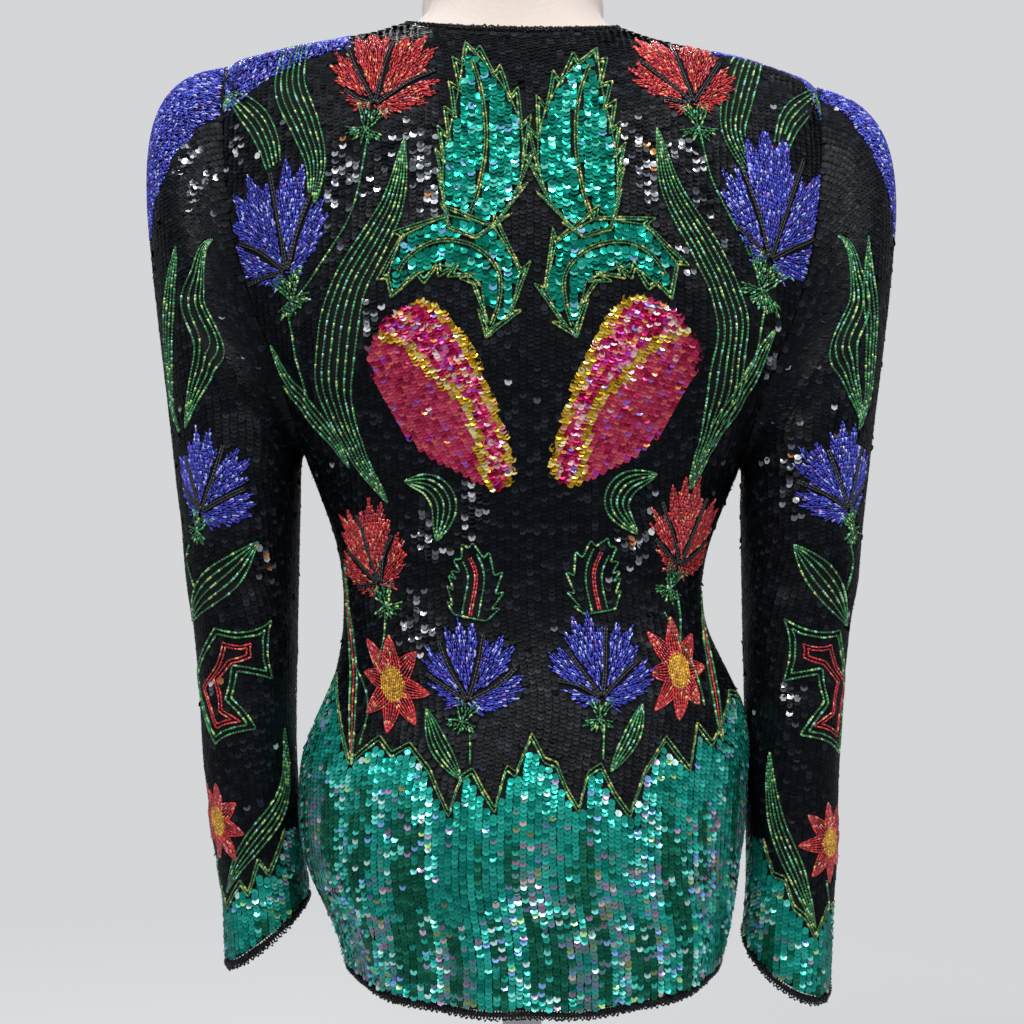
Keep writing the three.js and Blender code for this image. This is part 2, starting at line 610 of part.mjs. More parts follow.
// The back or front of the dress form, as rows of points just inside the garment
function formSide(side, rows) {
  const grid = rows.map((row) =>
    Array.from({ length: HALF_COLUMNS + 1 }, (_, i) => bodyPoint(side, row, i / HALF_COLUMNS, 0)),
  );
  const normals = gridNormals(grid, bodyOutward, false);
  return grid.map((line, j) =>
    line.map((p, i) => {
      if (j === grid.length - 1) {
        const inward = new THREE.Vector3(-p.x, -p.y, 0).normalize();
        return p.clone().addScaledVector(inward, FORM.neckline);
      }
      const normal = normals[j][i];
      if (i === 0) normal.setX(0).normalize();
      if (i === HALF_COLUMNS && rows[j].onSeam) normal.setY(0).normalize();
      const aboveHips = smoothstep(FORM_HIPS.fromZ, FORM_HIPS.fullZ, p.z);
      const atShoulders = smoothstep(FORM_SHOULDERS.fromZ, FORM_SHOULDERS.fullZ, p.z);
      const low = THREE.MathUtils.lerp(FORM.hips, FORM.chest, aboveHips);
      const clearance = THREE.MathUtils.lerp(low, FORM.shoulder, atShoulders);
      return p.clone().addScaledVector(normal, -(WALL + clearance));
    }),
  );
}

// The dress form: rings just inside the garment, closed across the armholes, then the neck.
// Of the rows above the underarm only every other one is used.
function formTorso() {
  const rings = [];
  const backRows = panelRows(-1);
  const back = formSide(-1, backRows);
  const front = formSide(1, panelRows(1));
  const lowerRows = HEM_ROWS + SIDE_ROWS;
  back.forEach((line, j) => {
    const isSkipped = j > lowerRows && j < back.length - 1 && j % 2 === 1;
    if (backRows[j].edge < FORM.bottomZ || isSkipped) return;
    const right = [...line, ...front[j].slice().reverse()];
    const left = right
      .slice(1, -1)
      .reverse()
      .map((p) => new THREE.Vector3(-p.x, p.y, p.z));
    rings.push(resampled([...right, ...left], FORM_COLUMNS).map((p) => settle(p, false)));
  });
  const { bottomZ, bottomScale } = FORM;
  rings.unshift(rings[0].map((p) => new THREE.Vector3(p.x * bottomScale, p.y * bottomScale, bottomZ)));
  const neckRing = (z, half, backDepth, frontDepth) => {
    const loop = Array.from({ length: 4 * HALF_COLUMNS }, (_, i) => {
      const turn = (2 * Math.PI * i) / (4 * HALF_COLUMNS);
      const depth = Math.cos(turn) > 0 ? -backDepth : -frontDepth;
      return new THREE.Vector3(half * Math.sin(turn), depth * Math.cos(turn), z);
    });
    return resampled(loop, FORM_COLUMNS).map((p) => settle(p, false));
  };
  NECK.z.forEach((z, i) => rings.push(neckRing(z, NECK.half[i], NECK.back[i], NECK.front[i])));
  const top = NECK.z.length - 1;
  const shrunk = [NECK.half, NECK.back, NECK.front].map((list) => list[top] - NECK_TOP_ROUND);
  rings.push(neckRing(NECK.z[top] + NECK_TOP_ROUND, ...shrunk));
  return capped(rings);
}

// A closed solid through rings of points, with a flat fan at each end
function capped(rings) {
  const count = rings[0].length;
  const points = rings.flat();
  const faces = [];
  for (let j = 0; j < rings.length - 1; j++) {
    for (let i = 0; i < count; i++) {
      const next = (i + 1) % count;
      const [a, b] = [j * count + i, j * count + next];
      const [c, d] = [(j + 1) * count + next, (j + 1) * count + i];
      faces.push(a, b, c, a, c, d);
    }
  }
  [0, rings.length - 1].forEach((j) => {
    const middle = new THREE.Vector3();
    rings[j].forEach((p) => middle.addScaledVector(p, 1 / count));
    points.push(middle);
    const hub = points.length - 1;
    for (let i = 0; i < count; i++) {
      const pair = [j * count + i, j * count + ((i + 1) % count)];
      faces.push(hub, ...(j === 0 ? pair.reverse() : pair));
    }
  });
  return facing(points, faces);
}

// A turned piece whose profile is a list of radius and height pairs that starts and ends on the axis
function turned(profile) {
  const geometry = new THREE.LatheGeometry(
    profile.map(([radius, z]) => new THREE.Vector2(radius, z)),
    LATHE_STEPS,
  );
  geometry.rotateX(Math.PI / 2);
  const points = [];
  const position = geometry.getAttribute("position");
  for (let i = 0; i < position.count; i++) {
    points.push(new THREE.Vector3().fromBufferAttribute(position, i));
  }
  return facing(points, [...geometry.index.array]);
}

function baseDisc() {
  const { radius, height, rim, bossRadius, bossHeight, fillet, toe } = BASE;
  return turned([
    [0, 0],
    [radius, 0],
    [radius, height - rim],
    [radius - rim, height],
    [bossRadius + fillet, height],
    [bossRadius, height + toe],
    [bossRadius - toe, bossHeight],
    [0, bossHeight],
  ]);
}

function formCollar() {
  const { radius, neckRadius, height, flange, taper, step } = COLLAR;
  const top = FORM.bottomZ - SEAM_GAP;
  const bottom = top - height;
  return turned([
    [0, bottom],
    [neckRadius, bottom],
    [neckRadius + taper, top - flange - step],
    [radius, top - flange],
    [radius, top],
    [0, top],
  ]);
}

function standPole() {
  const top = FORM.bottomZ - COLLAR.height - 2 * SEAM_GAP;
  const bottom = BASE.bossHeight + SEAM_GAP;
  return turned([
    [0, bottom],
    [POLE_RADIUS, bottom],
    [POLE_RADIUS, top],
    [0, top],
  ]);
}

const beadedCloth = new THREE.MeshStandardMaterial({ color: 0x14161a, roughness: 0.45, metalness: 0.2 });
const beadCord = new THREE.MeshStandardMaterial({ color: 0x0b0c0e, roughness: 0.35, metalness: 0.1 });
const creamForm = new THREE.MeshStandardMaterial({ color: 0xe3dbd2, roughness: 0.7, metalness: 0 });
const brushedSteel = new THREE.MeshStandardMaterial({ color: 0xb9bbbd, roughness: 0.35, metalness: 0.9 });
const paintedBase = new THREE.MeshStandardMaterial({ color: 0xd8d6d2, roughness: 0.5, metalness: 0.1 });

const part = new THREE.Group();
const add = (name, geometry, material) => {
  const mesh = new THREE.Mesh(geometry, material);
  mesh.name = name;
  part.add(mesh);
};

add("back", panelWall(backPoints, backNormals), beadedCloth);
add("front_right", panelWall(frontRight.points, frontRight.normals), beadedCloth);
add("front_left", panelWall(frontLeft.points, frontLeft.normals), beadedCloth);
add("sleeve_right", sleeveWall(sleeveRight), beadedCloth);
add("sleeve_left", sleeveWall(sleeveLeft), beadedCloth);
add("neck_edging", roundEdge(true), beadCord);
add("hem_edging", roundEdge(false), beadCord);
add("front_edging_right", frontEdge(frontRight), beadCord);
add("front_edging_left", frontEdge(frontLeft), beadCord);
add("cuff_edging_right", cuffEdge(sleeveRight), beadCord);
add("cuff_edging_left", cuffEdge(sleeveLeft), beadCord);
add("form_torso", formTorso(), creamForm);
add("form_collar", formCollar(), brushedSteel);
add("stand_pole", standPole(), brushedSteel);
add("stand_base", baseDisc(), paintedBase);

export default part;
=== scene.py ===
"""Looks of a fitted, long-sleeved evening top, covered in sequins and glass beads, on a dress form.

Tables and the garment's formulas are in millimetres, as the garment is cut, and MM turns them
into the frame's metres. The wearer would face +Y, so the photograph's view, from behind, looks
along +Y. Each cloth panel is a thin shell on its solid's form, and carries its own grid of cloth
coordinates: u runs across the cloth and v up it. Sequins and beads are laid out on those.
"""
import math

import bmesh
import bpy
import numpy as np
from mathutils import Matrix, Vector, kdtree


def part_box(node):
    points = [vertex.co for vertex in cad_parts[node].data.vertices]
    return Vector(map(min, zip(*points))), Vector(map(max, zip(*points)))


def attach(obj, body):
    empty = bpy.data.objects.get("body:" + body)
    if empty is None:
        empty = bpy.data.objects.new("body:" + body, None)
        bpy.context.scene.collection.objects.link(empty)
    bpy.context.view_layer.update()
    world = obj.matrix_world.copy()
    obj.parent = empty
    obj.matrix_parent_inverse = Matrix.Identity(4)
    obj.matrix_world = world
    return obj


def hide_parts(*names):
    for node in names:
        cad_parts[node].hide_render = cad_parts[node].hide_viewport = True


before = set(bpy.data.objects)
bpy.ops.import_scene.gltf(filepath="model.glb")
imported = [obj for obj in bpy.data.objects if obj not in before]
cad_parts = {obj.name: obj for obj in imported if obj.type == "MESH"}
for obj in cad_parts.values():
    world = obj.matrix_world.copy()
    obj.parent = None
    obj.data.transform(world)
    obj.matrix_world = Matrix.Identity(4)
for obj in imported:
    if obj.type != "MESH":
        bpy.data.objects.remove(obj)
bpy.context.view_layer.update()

MM = 0.001
rng = np.random.default_rng(20)

# Cloth and what is sewn on it
CLOTH_DEPTH = 0.8  # the silk's outer face below the solid's, which the bead layer fills
CLOTH_THICKNESS = 0.7
REFINE_ROWS = 4  # fine rows and columns for each one of the solid
REFINE_COLUMNS = 4
SEQUIN_RADIUS = 2.45
SEQUIN_CUP = 0.3  # how deep a sequin's middle lies
SEQUIN_ROW = 4.4  # between the vertical rows of sequins
SEQUIN_PITCH = 2.7  # along a row, where they overlap
SEQUIN_LIFT = 0.35
SEQUIN_LEAN = 0.17  # each sequin rests on the one below it, so its face turns up a little
BEAD_LIFT = 0.1
BEAD_CLEARANCE = 2.1  # no sequin's middle lies nearer to a string of beads
EDGE_MARGIN = 1.0  # between the panel's edge and the nearest sequin or bead

# Rolled edgings of small beads round a thread
ROPE_BEAD = 1.0  # a bead's radius
ROPE_SIDES = 6  # beads in a ring
ROPE_RADIUS = 1.75
ROPE_CORE, ROPE_CORE_SIDES, ROPE_CORE_STEP = 1.5, 8, 1.5
THREAD_BLACK = (12, 12, 14)
PICOT_PITCH = 3.9
PICOT_BEADS = ((-1.15, 0.95), (0, 1.75), (1.15, 0.95))  # a loop's beads: along the edge, out from it

# The photograph's view, in metres and pixels of the 1024 frame
CAMERA_DISTANCE = 1.4
CAMERA_HEIGHT = 0.541
METRES_PER_PIXEL = 0.000645  # on the plane y = 0
MIDDLE_PIXEL = 512
CENTRE_BACK_PIXEL = 522
FRAME_PIXELS = 1024
SENSOR_WIDTH = 36
CAMERA_X = (MIDDLE_PIXEL - CENTRE_BACK_PIXEL) * METRES_PER_PIXEL

# Cloth coordinates of the back and fronts
COORDINATE_HEIGHTS = (230, 853, 0.25)  # the table's lowest and highest rows, and their step
COORDINATE_STEP = 3
STRAIGHT_ABOVE = 760

# The garment's solids, as the part's source makes them
WALL = 2
SEAM_GAP = 0.3
CORD_RADIUS = 2.3
FRONT_INSET = 2 * CORD_RADIUS + 2 * SEAM_GAP
HEM_SIDE_Z, HEM_BACK_Z, HEM_FRONT_Z, HEM_LEVEL_Z = 260, 242, 250, 310
UNDERARM_Z, SHOULDER_POINT_Z, NECK_SIDE_Z = 574, 821, 852
NECK_BACK_Z, NECK_FRONT_Z = 838, 775
HALF_COLUMNS, SLEEVE_COLUMNS = 11, 20
HEM_ROWS, SIDE_ROWS, SHOULDER_ROWS = 3, 10, 5
ARMHOLE_ROWS = SLEEVE_COLUMNS // 2
CAP_ROWS, ARM_ROWS = 9, 14
UNDERARM_DIP = {-1: 2, 1: 10}
ARMHOLE_SPAN_CUT = 0.76

# z, half width, depth behind, depth in front, squareness
SECTIONS = np.array([
    (236, 118, 97, 95, 2.15), (253, 120, 99, 96, 2.15), (279, 127, 103, 98, 2.15),
    (317, 138.5, 107, 98, 2.15), (350, 143.5, 107, 96, 2.15), (381, 143.5, 101, 92, 2.15),
    (407, 138, 93, 88, 2.15), (433, 128, 84, 84, 2.15), (458, 119, 77, 81, 2.15),
    (484, 114.2, 74, 80, 2.15), (509, 116.5, 75, 84, 2.15), (535, 124.5, 79, 92, 2.15),
    (560, 134, 84, 101, 2.2), (574, 139.5, 86.5, 104, 2.2), (590, 150, 89, 107, 2.2),
    (604, 160, 91, 108, 2.25), (625, 174, 94, 106, 2.3), (655, 192, 96, 99, 2.3),
    (700, 207, 97, 87, 2.3), (740, 207, 94, 73, 2.3), (780, 200, 86, 58, 2.3),
    (800, 194.5, 79, 51, 2.3), (812, 190.5, 73, 46, 2.25), (821, 188, 69, 43.5, 2.2),
    (829, 172, 65, 41, 2.15), (832.5, 153, 61, 38.5, 2.1), (838, 122, 57, 35.5, 2.05),
    (844, 94, 53, 32.5, 2), (848, 80, 50, 30.5, 2), (852, 70, 48, 29, 2),
])
# z, armhole seam's x behind, in front
ARMHOLES = np.array([
    (574, 139.5, 139.5), (590, 142.5, 141.5), (604, 146.5, 144.5), (625, 152, 148),
    (655, 164, 156), (700, 178, 167), (740, 184.5, 175), (780, 188, 183),
    (800, 189, 187.5), (812, 189, 188.8), (821, 188, 188),
])
# z, middle x and y, half width, half depth
SLEEVE_RINGS = np.array([
    (240, 168, 24, 29.5, 40), (266, 169.5, 23, 29, 40.5), (292, 171.5, 21, 28, 41),
    (330, 174.6, 18, 29, 42), (356, 175.4, 15, 29.2, 43), (381, 176, 12, 29.6, 44),
    (420, 176.6, 8, 30.6, 46), (484, 178.5, 4, 34.3, 51), (548, 181.6, 2, 38.8, 57),
])
SLEEVE_TOP_Z = 548
CUFFS = {-1: (266, 23, 0.15), 1: (257, 20, 0.75)}  # side: middle height, slant, turn of the point
CAP = {"reach": 75, "lift": -12, "droop": 190, "bulge": 20, "under_reach": 5, "under_droop": 10}
SHOULDER_TILT = (0.014, 0.00011)
TILT_FROM_Z, TILT_FULL_Z = 440, 580
NECK_SHIFT = {"x": -6, "from_z": 790, "full_z": 850, "outer_x": 150, "inner_x": 90}
HIP_SWAY = {"x": 7, "z": 425, "high": 38}
HEM_SWAY = {"x": 7, "from_z": 330, "full_z": 262}
SLEEVE_SWING = {"upper": -1, "lower": 5, "from_z": 400, "full_z": 260}
BUST = {"x": 72, "z": 612, "depth": 11, "wide": 46, "high": 50}
FLUTES = {"count": 11, "depth": 4.2, "from_z": 400, "full_z": 290}
# side, x, z, turn, length, width, height of the ridge
BODY_FOLDS = [
    (-1, -130, 632, 1.2, 62, 15, 4.6), (-1, 132, 626, -1.15, 68, 15, 4.8),
    (-1, -96, 660, 1.05, 56, 16, 3), (-1, 98, 668, -1, 60, 16, 3.2),
    (-1, -92, 505, 0.5, 48, 17, 3.6), (-1, 84, 516, -0.42, 52, 16, 3.8),
    (-1, -66, 452, -0.35, 52, 17, 3.2), (-1, 76, 448, 0.4, 46, 16, 3.4),
    (1, -126, 640, -1.15, 62, 15, 4.4), (1, 128, 634, 1.1, 58, 15, 4.4),
    (1, -84, 512, -0.45, 50, 17, 3.6), (1, 90, 506, 0.5, 54, 16, 3.8),
]
# turn, z, slope, length, width, height
SLEEVE_FOLDS = [
    (1.9, 630, -30, 1, 17, 5), (2.2, 582, -22, 0.9, 15, 4.2), (0.9, 512, 18, 0.9, 16, 3.4),
    (2.4, 470, -14, 0.9, 15, 3.6), (-1.8, 596, 24, 1, 16, 4.4), (-1.7, 486, 16, 1, 16, 3.8),
    (-2.1, 436, 18, 0.8, 15, 3.4), (1.5, 404, 16, 0.9, 16, 2.8), (-0.8, 352, -14, 0.9, 15, 2.4),
]
SLEEVE_FOLD_SHIFT = 9
SLEEVE_FOLDS_TOP = (700, 650)
UNDERARM_SMOOTH = 0.5
CREASE_SHIFT = 5  # up on the right and down on the left, so that the two sides differ
INNER_FADE = 6  # fine rows in from a panel's edge where its creases are whole

# Finer creases, as soft troughs and ridges in cloth coordinates: u, v, turn, length, width, height
CREASES = {
    "back": [
        (-150, 598, 0.9, 46, 6, -1.6), (-138, 640, 1.1, 38, 5, 1.2), (149, 604, -1.0, 42, 6, -1.7),
        (139, 652, -1.2, 34, 5, 1.1), (-96, 486, 0.18, 34, 5, -1.1), (-70, 470, -0.25, 26, 5, 0.9),
        (90, 492, -0.2, 36, 5, -1.2), (62, 474, 0.3, 24, 5, 0.8), (-30, 496, 0.05, 28, 6, -0.7),
        (-104, 700, 1.3, 40, 7, -0.9), (110, 712, -1.35, 44, 7, -0.9), (-118, 330, 1.5, 60, 8, -1.6),
        (-52, 318, 1.6, 58, 9, -1.3), (8, 308, 1.5, 62, 8, -1.5), (66, 322, 1.62, 56, 9, -1.4),
        (124, 334, 1.55, 60, 8, -1.6),
    ],
    "front": [
        (148, 604, -1.0, 44, 6, -1.6), (130, 566, -0.7, 30, 5, 1.0), (96, 496, -0.22, 36, 5, -1.2),
        (66, 478, 0.28, 26, 5, 0.9), (40, 512, -0.1, 24, 6, -0.7), (112, 690, -1.3, 38, 7, -0.9),
        (24, 316, 1.55, 58, 8, -1.3), (74, 326, 1.6, 60, 9, -1.5), (128, 330, 1.5, 58, 8, -1.6),
    ],
    "sleeve": [
        (96, 610, 0.5, 30, 6, -1.8), (110, 574, 0.4, 26, 5, 1.4), (78, 498, -0.3, 30, 6, -1.5),
        (100, 462, 0.25, 26, 5, 1.3), (60, 430, -0.2, 22, 6, -1.2), (-92, 590, -0.5, 30, 6, -1.7),
        (-84, 480, 0.3, 28, 6, -1.5), (-102, 446, -0.3, 24, 5, 1.2), (-58, 402, 0.2, 22, 6, -1.1),
        (20, 352, 0.15, 20, 6, -0.9), (-30, 318, -0.12, 18, 6, 0.8), (44, 300, 0.2, 18, 6, -0.9),
    ],
}


def smoothstep(start, end, value):
    t = np.clip((np.asarray(value, float) - start) / (end - start), 0, 1)
    return t * t * (3 - 2 * t)


def bell(value):
    return np.exp(-np.square(value))


def unit(vectors):
    """Vectors of length 1, along the last axis."""
    return vectors / np.maximum(np.linalg.norm(vectors, axis=-1, keepdims=True), 1e-9)


def ridge(x, z, fold, shift=0):
    """How far a soft ridge lifts the cloth. The fold is its place, turn, length, width and height."""
    fold_x, fold_z, turn, long, wide, high = fold
    along = (x - fold_x) * math.cos(turn) + (z - fold_z) * math.sin(turn)
    across = (z - fold_z - shift) * math.cos(turn) - (x - fold_x) * math.sin(turn)
    return high * bell(along / long) * bell(across / wide)


def flat_tree(points):
    """A search tree of points in two coordinates."""
    tree = kdtree.KDTree(len(points))
    for k, (a, b) in enumerate(points):
        tree.insert((a, b, 0), k)
    tree.balance()
    return tree


def curve(table, index):
    """A smooth curve through one column of a table, with no overshoot between its rows."""
    heights, values = table[:, 0], table[:, index]
    slopes = np.diff(values) / np.diff(heights)
    tangents = np.zeros(len(values))
    tangents[0], tangents[-1] = slopes[0], slopes[-1]
    before, after = slopes[:-1], slopes[1:]
    same = before * after > 0
    total = np.where(same, before + after, 1)
    tangents[1:-1] = np.where(same, 2 * before * after / total, 0)

    def at(z):
        z = np.clip(np.asarray(z, float), heights[0], heights[-1])
        row = np.clip(np.searchsorted(heights, z, side="right") - 1, 0, len(heights) - 2)
        step = heights[row + 1] - heights[row]
        t = (z - heights[row]) / step
        return (
            (2 * t**3 - 3 * t**2 + 1) * values[row]
            + (t**3 - 2 * t**2 + t) * step * tangents[row]
            + (3 * t**2 - 2 * t**3) * values[row + 1]
            + (t**3 - t**2) * step * tangents[row + 1]
        )

    return at


half_at = curve(SECTIONS, 1)
depth_at = {-1: curve(SECTIONS, 2), 1: curve(SECTIONS, 3)}
power_at = curve(SECTIONS, 4)
armhole_at = {-1: curve(ARMHOLES, 1), 1: curve(ARMHOLES, 2)}
ring_x, ring_y, ring_half, ring_deep = [curve(SLEEVE_RINGS, k) for k in (1, 2, 3, 4)]


def settle(points, is_sleeve):
    """The whole garment's lean and swing."""
    x, z = points[..., 0], points[..., 2]
    tilt = 1 if is_sleeve else smoothstep(TILT_FROM_Z, TILT_FULL_Z, z)
    out = points.copy()
    flat, growing = SHOULDER_TILT
    out[..., 2] = z - (flat + growing * np.abs(x)) * tilt * x
    if not is_sleeve:
        hip = HIP_SWAY["x"] * bell((z - HIP_SWAY["z"]) / HIP_SWAY["high"])
        hem = HEM_SWAY["x"] * smoothstep(HEM_SWAY["from_z"], HEM_SWAY["full_z"], z)
        near_neck = smoothstep(NECK_SHIFT["from_z"], NECK_SHIFT["full_z"], z)
        near_neck = near_neck * smoothstep(NECK_SHIFT["outer_x"], NECK_SHIFT["inner_x"], np.abs(x))
        out[..., 0] = x + hip + hem + NECK_SHIFT["x"] * near_neck
    return out


def body_relief(side, x, z):
    """How far the cloth's large folds lift it."""
    lift = sum(ridge(x, z, fold) for fold_side, *fold in BODY_FOLDS if fold_side == side)
    turn = np.arcsin(np.minimum(1, np.abs(x) / half_at(z)))
    fluted = FLUTES["depth"] * smoothstep(FLUTES["from_z"], FLUTES["full_z"], z)
    phase = turn * FLUTES["count"] + 0.5 * np.sin(3 * turn + (x > 0))
    return lift + fluted * 0.5 * (1 - np.cos(phase)) * np.cos(turn)


def armhole_height(t):
    return UNDERARM_Z + (SHOULDER_POINT_Z - UNDERARM_Z) * (0.5 - 0.5 * np.cos(np.pi * t))


def panel_rows(side):
    """Rows of a half panel, from hem to neck: edge height, centre height, on a seam, span."""
    hem_centre = HEM_BACK_Z if side < 0 else HEM_FRONT_Z
    neck_centre = NECK_BACK_Z if side < 0 else NECK_FRONT_Z
    underarm_centre = UNDERARM_Z - UNDERARM_DIP[side]
    rows = []
    edges = [
        *np.linspace(HEM_SIDE_Z, HEM_LEVEL_Z, HEM_ROWS, endpoint=False),
        *np.linspace(HEM_LEVEL_Z, UNDERARM_Z, SIDE_ROWS, endpoint=False),
    ]
    for edge in edges:
        dip = (HEM_SIDE_Z - hem_centre) * (1 - smoothstep(HEM_SIDE_Z, HEM_LEVEL_Z, edge))
        lower = (UNDERARM_Z - underarm_centre) * smoothstep(HEM_LEVEL_Z, UNDERARM_Z, edge)
        rows.append((edge, edge - dip - lower, True, math.pi / 2))
    upper = ARMHOLE_ROWS + SHOULDER_ROWS
    for i in range(upper + 1):
        centre = underarm_centre + (neck_centre - underarm_centre) * i / upper
        in_armhole = i < ARMHOLE_ROWS
        t = i / ARMHOLE_ROWS if in_armhole else (i - ARMHOLE_ROWS) / SHOULDER_ROWS
        shoulder = SHOULDER_POINT_Z + (NECK_SIDE_Z - SHOULDER_POINT_Z) * t
        edge = float(armhole_height(t)) if in_armhole else shoulder
        cut = ARMHOLE_SPAN_CUT * math.sin(math.pi * t) if in_armhole else 0
        rows.append((edge, centre, i == 0 or not in_armhole, math.pi / 2 - cut))
    return rows


def body_point(side, row, s, inset):
    """Points of the smooth form of the back or a front at shares s from centre to edge, x > 0."""
    edge, centre, on_seam, span = row
    reach = half_at(edge) if on_seam else armhole_at[side](edge)
    turn = s * span
    x = inset + (reach - inset) * np.sin(turn) / math.sin(span)
    z = centre + (edge - centre) * (1 - np.cos(turn)) / (1 - math.cos(span))
    power = power_at(z)
    share = np.minimum(1, x / half_at(z))
    depth = depth_at[side](z) * (1 - share**power) ** (1 / power)
    if side > 0:
        bust = bell((x - BUST["x"]) / BUST["wide"]) * bell((z - BUST["z"]) / BUST["high"])
        depth = depth + BUST["depth"] * bust
    return np.stack([x, side * (SEAM_GAP / 2 + depth), z], -1)


def grid_normals(grid, wrapped=False):
    """Unit normals of a grid of points, by the differences between neighbours."""
    if wrapped:
        across = np.roll(grid, -1, 1) - np.roll(grid, 1, 1)
    else:
        across = np.gradient(grid, axis=1)
    return unit(np.cross(across, np.gradient(grid, axis=0)))


def half_panel(side, inset, mirror):
    """The solid's outer points of one half of the back or the fronts."""
    rows = panel_rows(side)
    shares = np.arange(HALF_COLUMNS + 1) / HALF_COLUMNS
    smooth = np.array([body_point(side, row, shares, inset) for row in rows])
    normals = grid_normals(smooth)
    outward = smooth * (1, 1.4, 0)  # away from the axis, and upwards on the shoulders
    outward[..., 2] = np.where(smooth[..., 2] > SHOULDER_POINT_Z, 60, 0)
    normals *= np.where((normals * outward).sum(-1, keepdims=True) < 0, -1, 1)
    for j, row in enumerate(rows):
        if row[2]:
            normals[j, -1, 1] = 0
        normals[j, 0, 0] = 0
    normals = unit(normals)
    fade = smoothstep(0, 3, HALF_COLUMNS - np.arange(HALF_COLUMNS + 1))
    lift = fade * body_relief(side, mirror * smooth[..., 0], smooth[..., 2])
    return (smooth + normals * lift[..., None]) * (mirror, 1, 1)


def sleeve_relief(turn, z, mirror):
    lift = np.zeros_like(z)
    for fold_turn, fz, slope, long, wide, high in SLEEVE_FOLDS:
        away = np.arctan2(np.sin(turn - fold_turn), np.cos(turn - fold_turn))
        ridge = fz + mirror * SLEEVE_FOLD_SHIFT + slope * away
        lift += high * bell(away / long) * bell((z - ridge) / wide)
    clear = (1 - bell((turn - np.pi) / UNDERARM_SMOOTH)) * (1 - bell((turn + np.pi) / UNDERARM_SMOOTH))
    return lift * smoothstep(*SLEEVE_FOLDS_TOP, z) * clear


def sleeve_grid(mirror):
    """The solid's outer points of a sleeve, from the armhole to the cuff. Column 0 is the underarm."""
    count = SLEEVE_COLUMNS
    loop = []
    for i in range(count):
        side = -1 if i <= ARMHOLE_ROWS else 1
        z = armhole_height((i if side < 0 else count - i) / ARMHOLE_ROWS)
        point = body_point(side, (z, z, False, math.pi / 2), np.array(1.0), 0)
        if i in (0, ARMHOLE_ROWS):
            point[1] = 0
        loop.append(point)
    start = np.array(loop) + (SEAM_GAP, 0, 0)
    turn = np.pi - 2 * np.pi * np.arange(count) / count
    outer = 0.5 + 0.5 * np.cos(turn)

    def ring(z):
        z = np.broadcast_to(z, turn.shape)
        x = ring_x(z) + ring_half(z) * np.cos(turn)
        return np.stack([x, ring_y(z) - ring_deep(z) * np.sin(turn), z], -1)

    end = ring(SLEEVE_TOP_Z)
    zero = np.zeros(count)
    reach = CAP["under_reach"] + (CAP["reach"] - CAP["under_reach"]) * outer
    droop = CAP["under_droop"] + (CAP["droop"] - CAP["under_droop"]) * outer
    second = start + np.stack([reach, zero, CAP["lift"] * outer], -1)
    third = end + np.stack([CAP["bulge"] * outer**2, zero, droop], -1)
    rows = []
    for j in range(CAP_ROWS):
        t = j / CAP_ROWS
        a, b, c, d = (1 - t) ** 3, 3 * t * (1 - t) ** 2, 3 * t * t * (1 - t), t**3
        rows.append(a * start + b * second + c * third + d * end)
    middle, slant, cuff_turn = CUFFS[mirror]
    lowest = middle - slant * np.cos(turn - cuff_turn)
    for j in range(ARM_ROWS + 1):
        rows.append(ring(SLEEVE_TOP_Z + (lowest - SLEEVE_TOP_Z) * j / ARM_ROWS))
    grid = np.array(rows)
    row = np.arange(len(grid))[:, None]
    away = unit(np.stack([grid[..., 0] - ring_x(grid[..., 2]), grid[..., 1] - ring_y(grid[..., 2])], -1))
    low = smoothstep(SLEEVE_SWING["from_z"], SLEEVE_SWING["full_z"], grid[..., 2])
    swing = SLEEVE_SWING["upper"] + SLEEVE_SWING["lower"] * low
    lift = smoothstep(1, 6, row) * sleeve_relief(turn[None, :], grid[..., 2], mirror)
    grid[..., :2] += away * lift[..., None]
    grid[..., 0] += mirror * swing * smoothstep(1, CAP_ROWS, row)
    return grid * (mirror, 1, 1)


def refined(grid, factor, axis, wrapped=False):
    """The grid with factor steps for each of its own along one axis, on a smooth curve."""
    g = np.moveaxis(grid, axis, 0)
    if wrapped:
        padded = np.concatenate([g[-1:], g, g[:2]])
    else:
        padded = np.concatenate([2 * g[:1] - g[1:2], g, 2 * g[-1:] - g[-2:-1]])
    spans = len(padded) - 3
    parts = []
    for k in range(factor):
        t = k / factor
        weights = (
            (-t + 2 * t * t - t**3) / 2,
            (2 - 5 * t * t + 3 * t**3) / 2,
            (t + 4 * t * t - 3 * t**3) / 2,
            (t**3 - t * t) / 2,
        )
        parts.append(sum(w * padded[n : n + spans] for n, w in enumerate(weights)))
    fine = np.stack(parts, 1).reshape(spans * factor, *g.shape[1:])
    fine = np.concatenate([fine, fine[:1] if wrapped else g[-1:]])
    return np.moveaxis(fine, 0, axis)


def cell(grid, j, i):
    """Bilinear values of a grid at row j and column i, and the differences along both."""
    j0 = np.clip(np.floor(j).astype(int), 0, grid.shape[0] - 2)
    i0 = np.clip(np.floor(i).astype(int), 0, grid.shape[1] - 2)
    tj, ti = j - j0, i - i0
    if grid.ndim == 3:
        tj, ti = tj[:, None], ti[:, None]
    a, b = grid[j0, i0], grid[j0, i0 + 1]
    c, d = grid[j0 + 1, i0], grid[j0 + 1, i0 + 1]
    value = (1 - tj) * ((1 - ti) * a + ti * b) + tj * ((1 - ti) * c + ti * d)
    down = (1 - ti) * (c - a) + ti * (d - b)
    across = (1 - tj) * (b - a) + tj * (d - c)
    return value, down, across


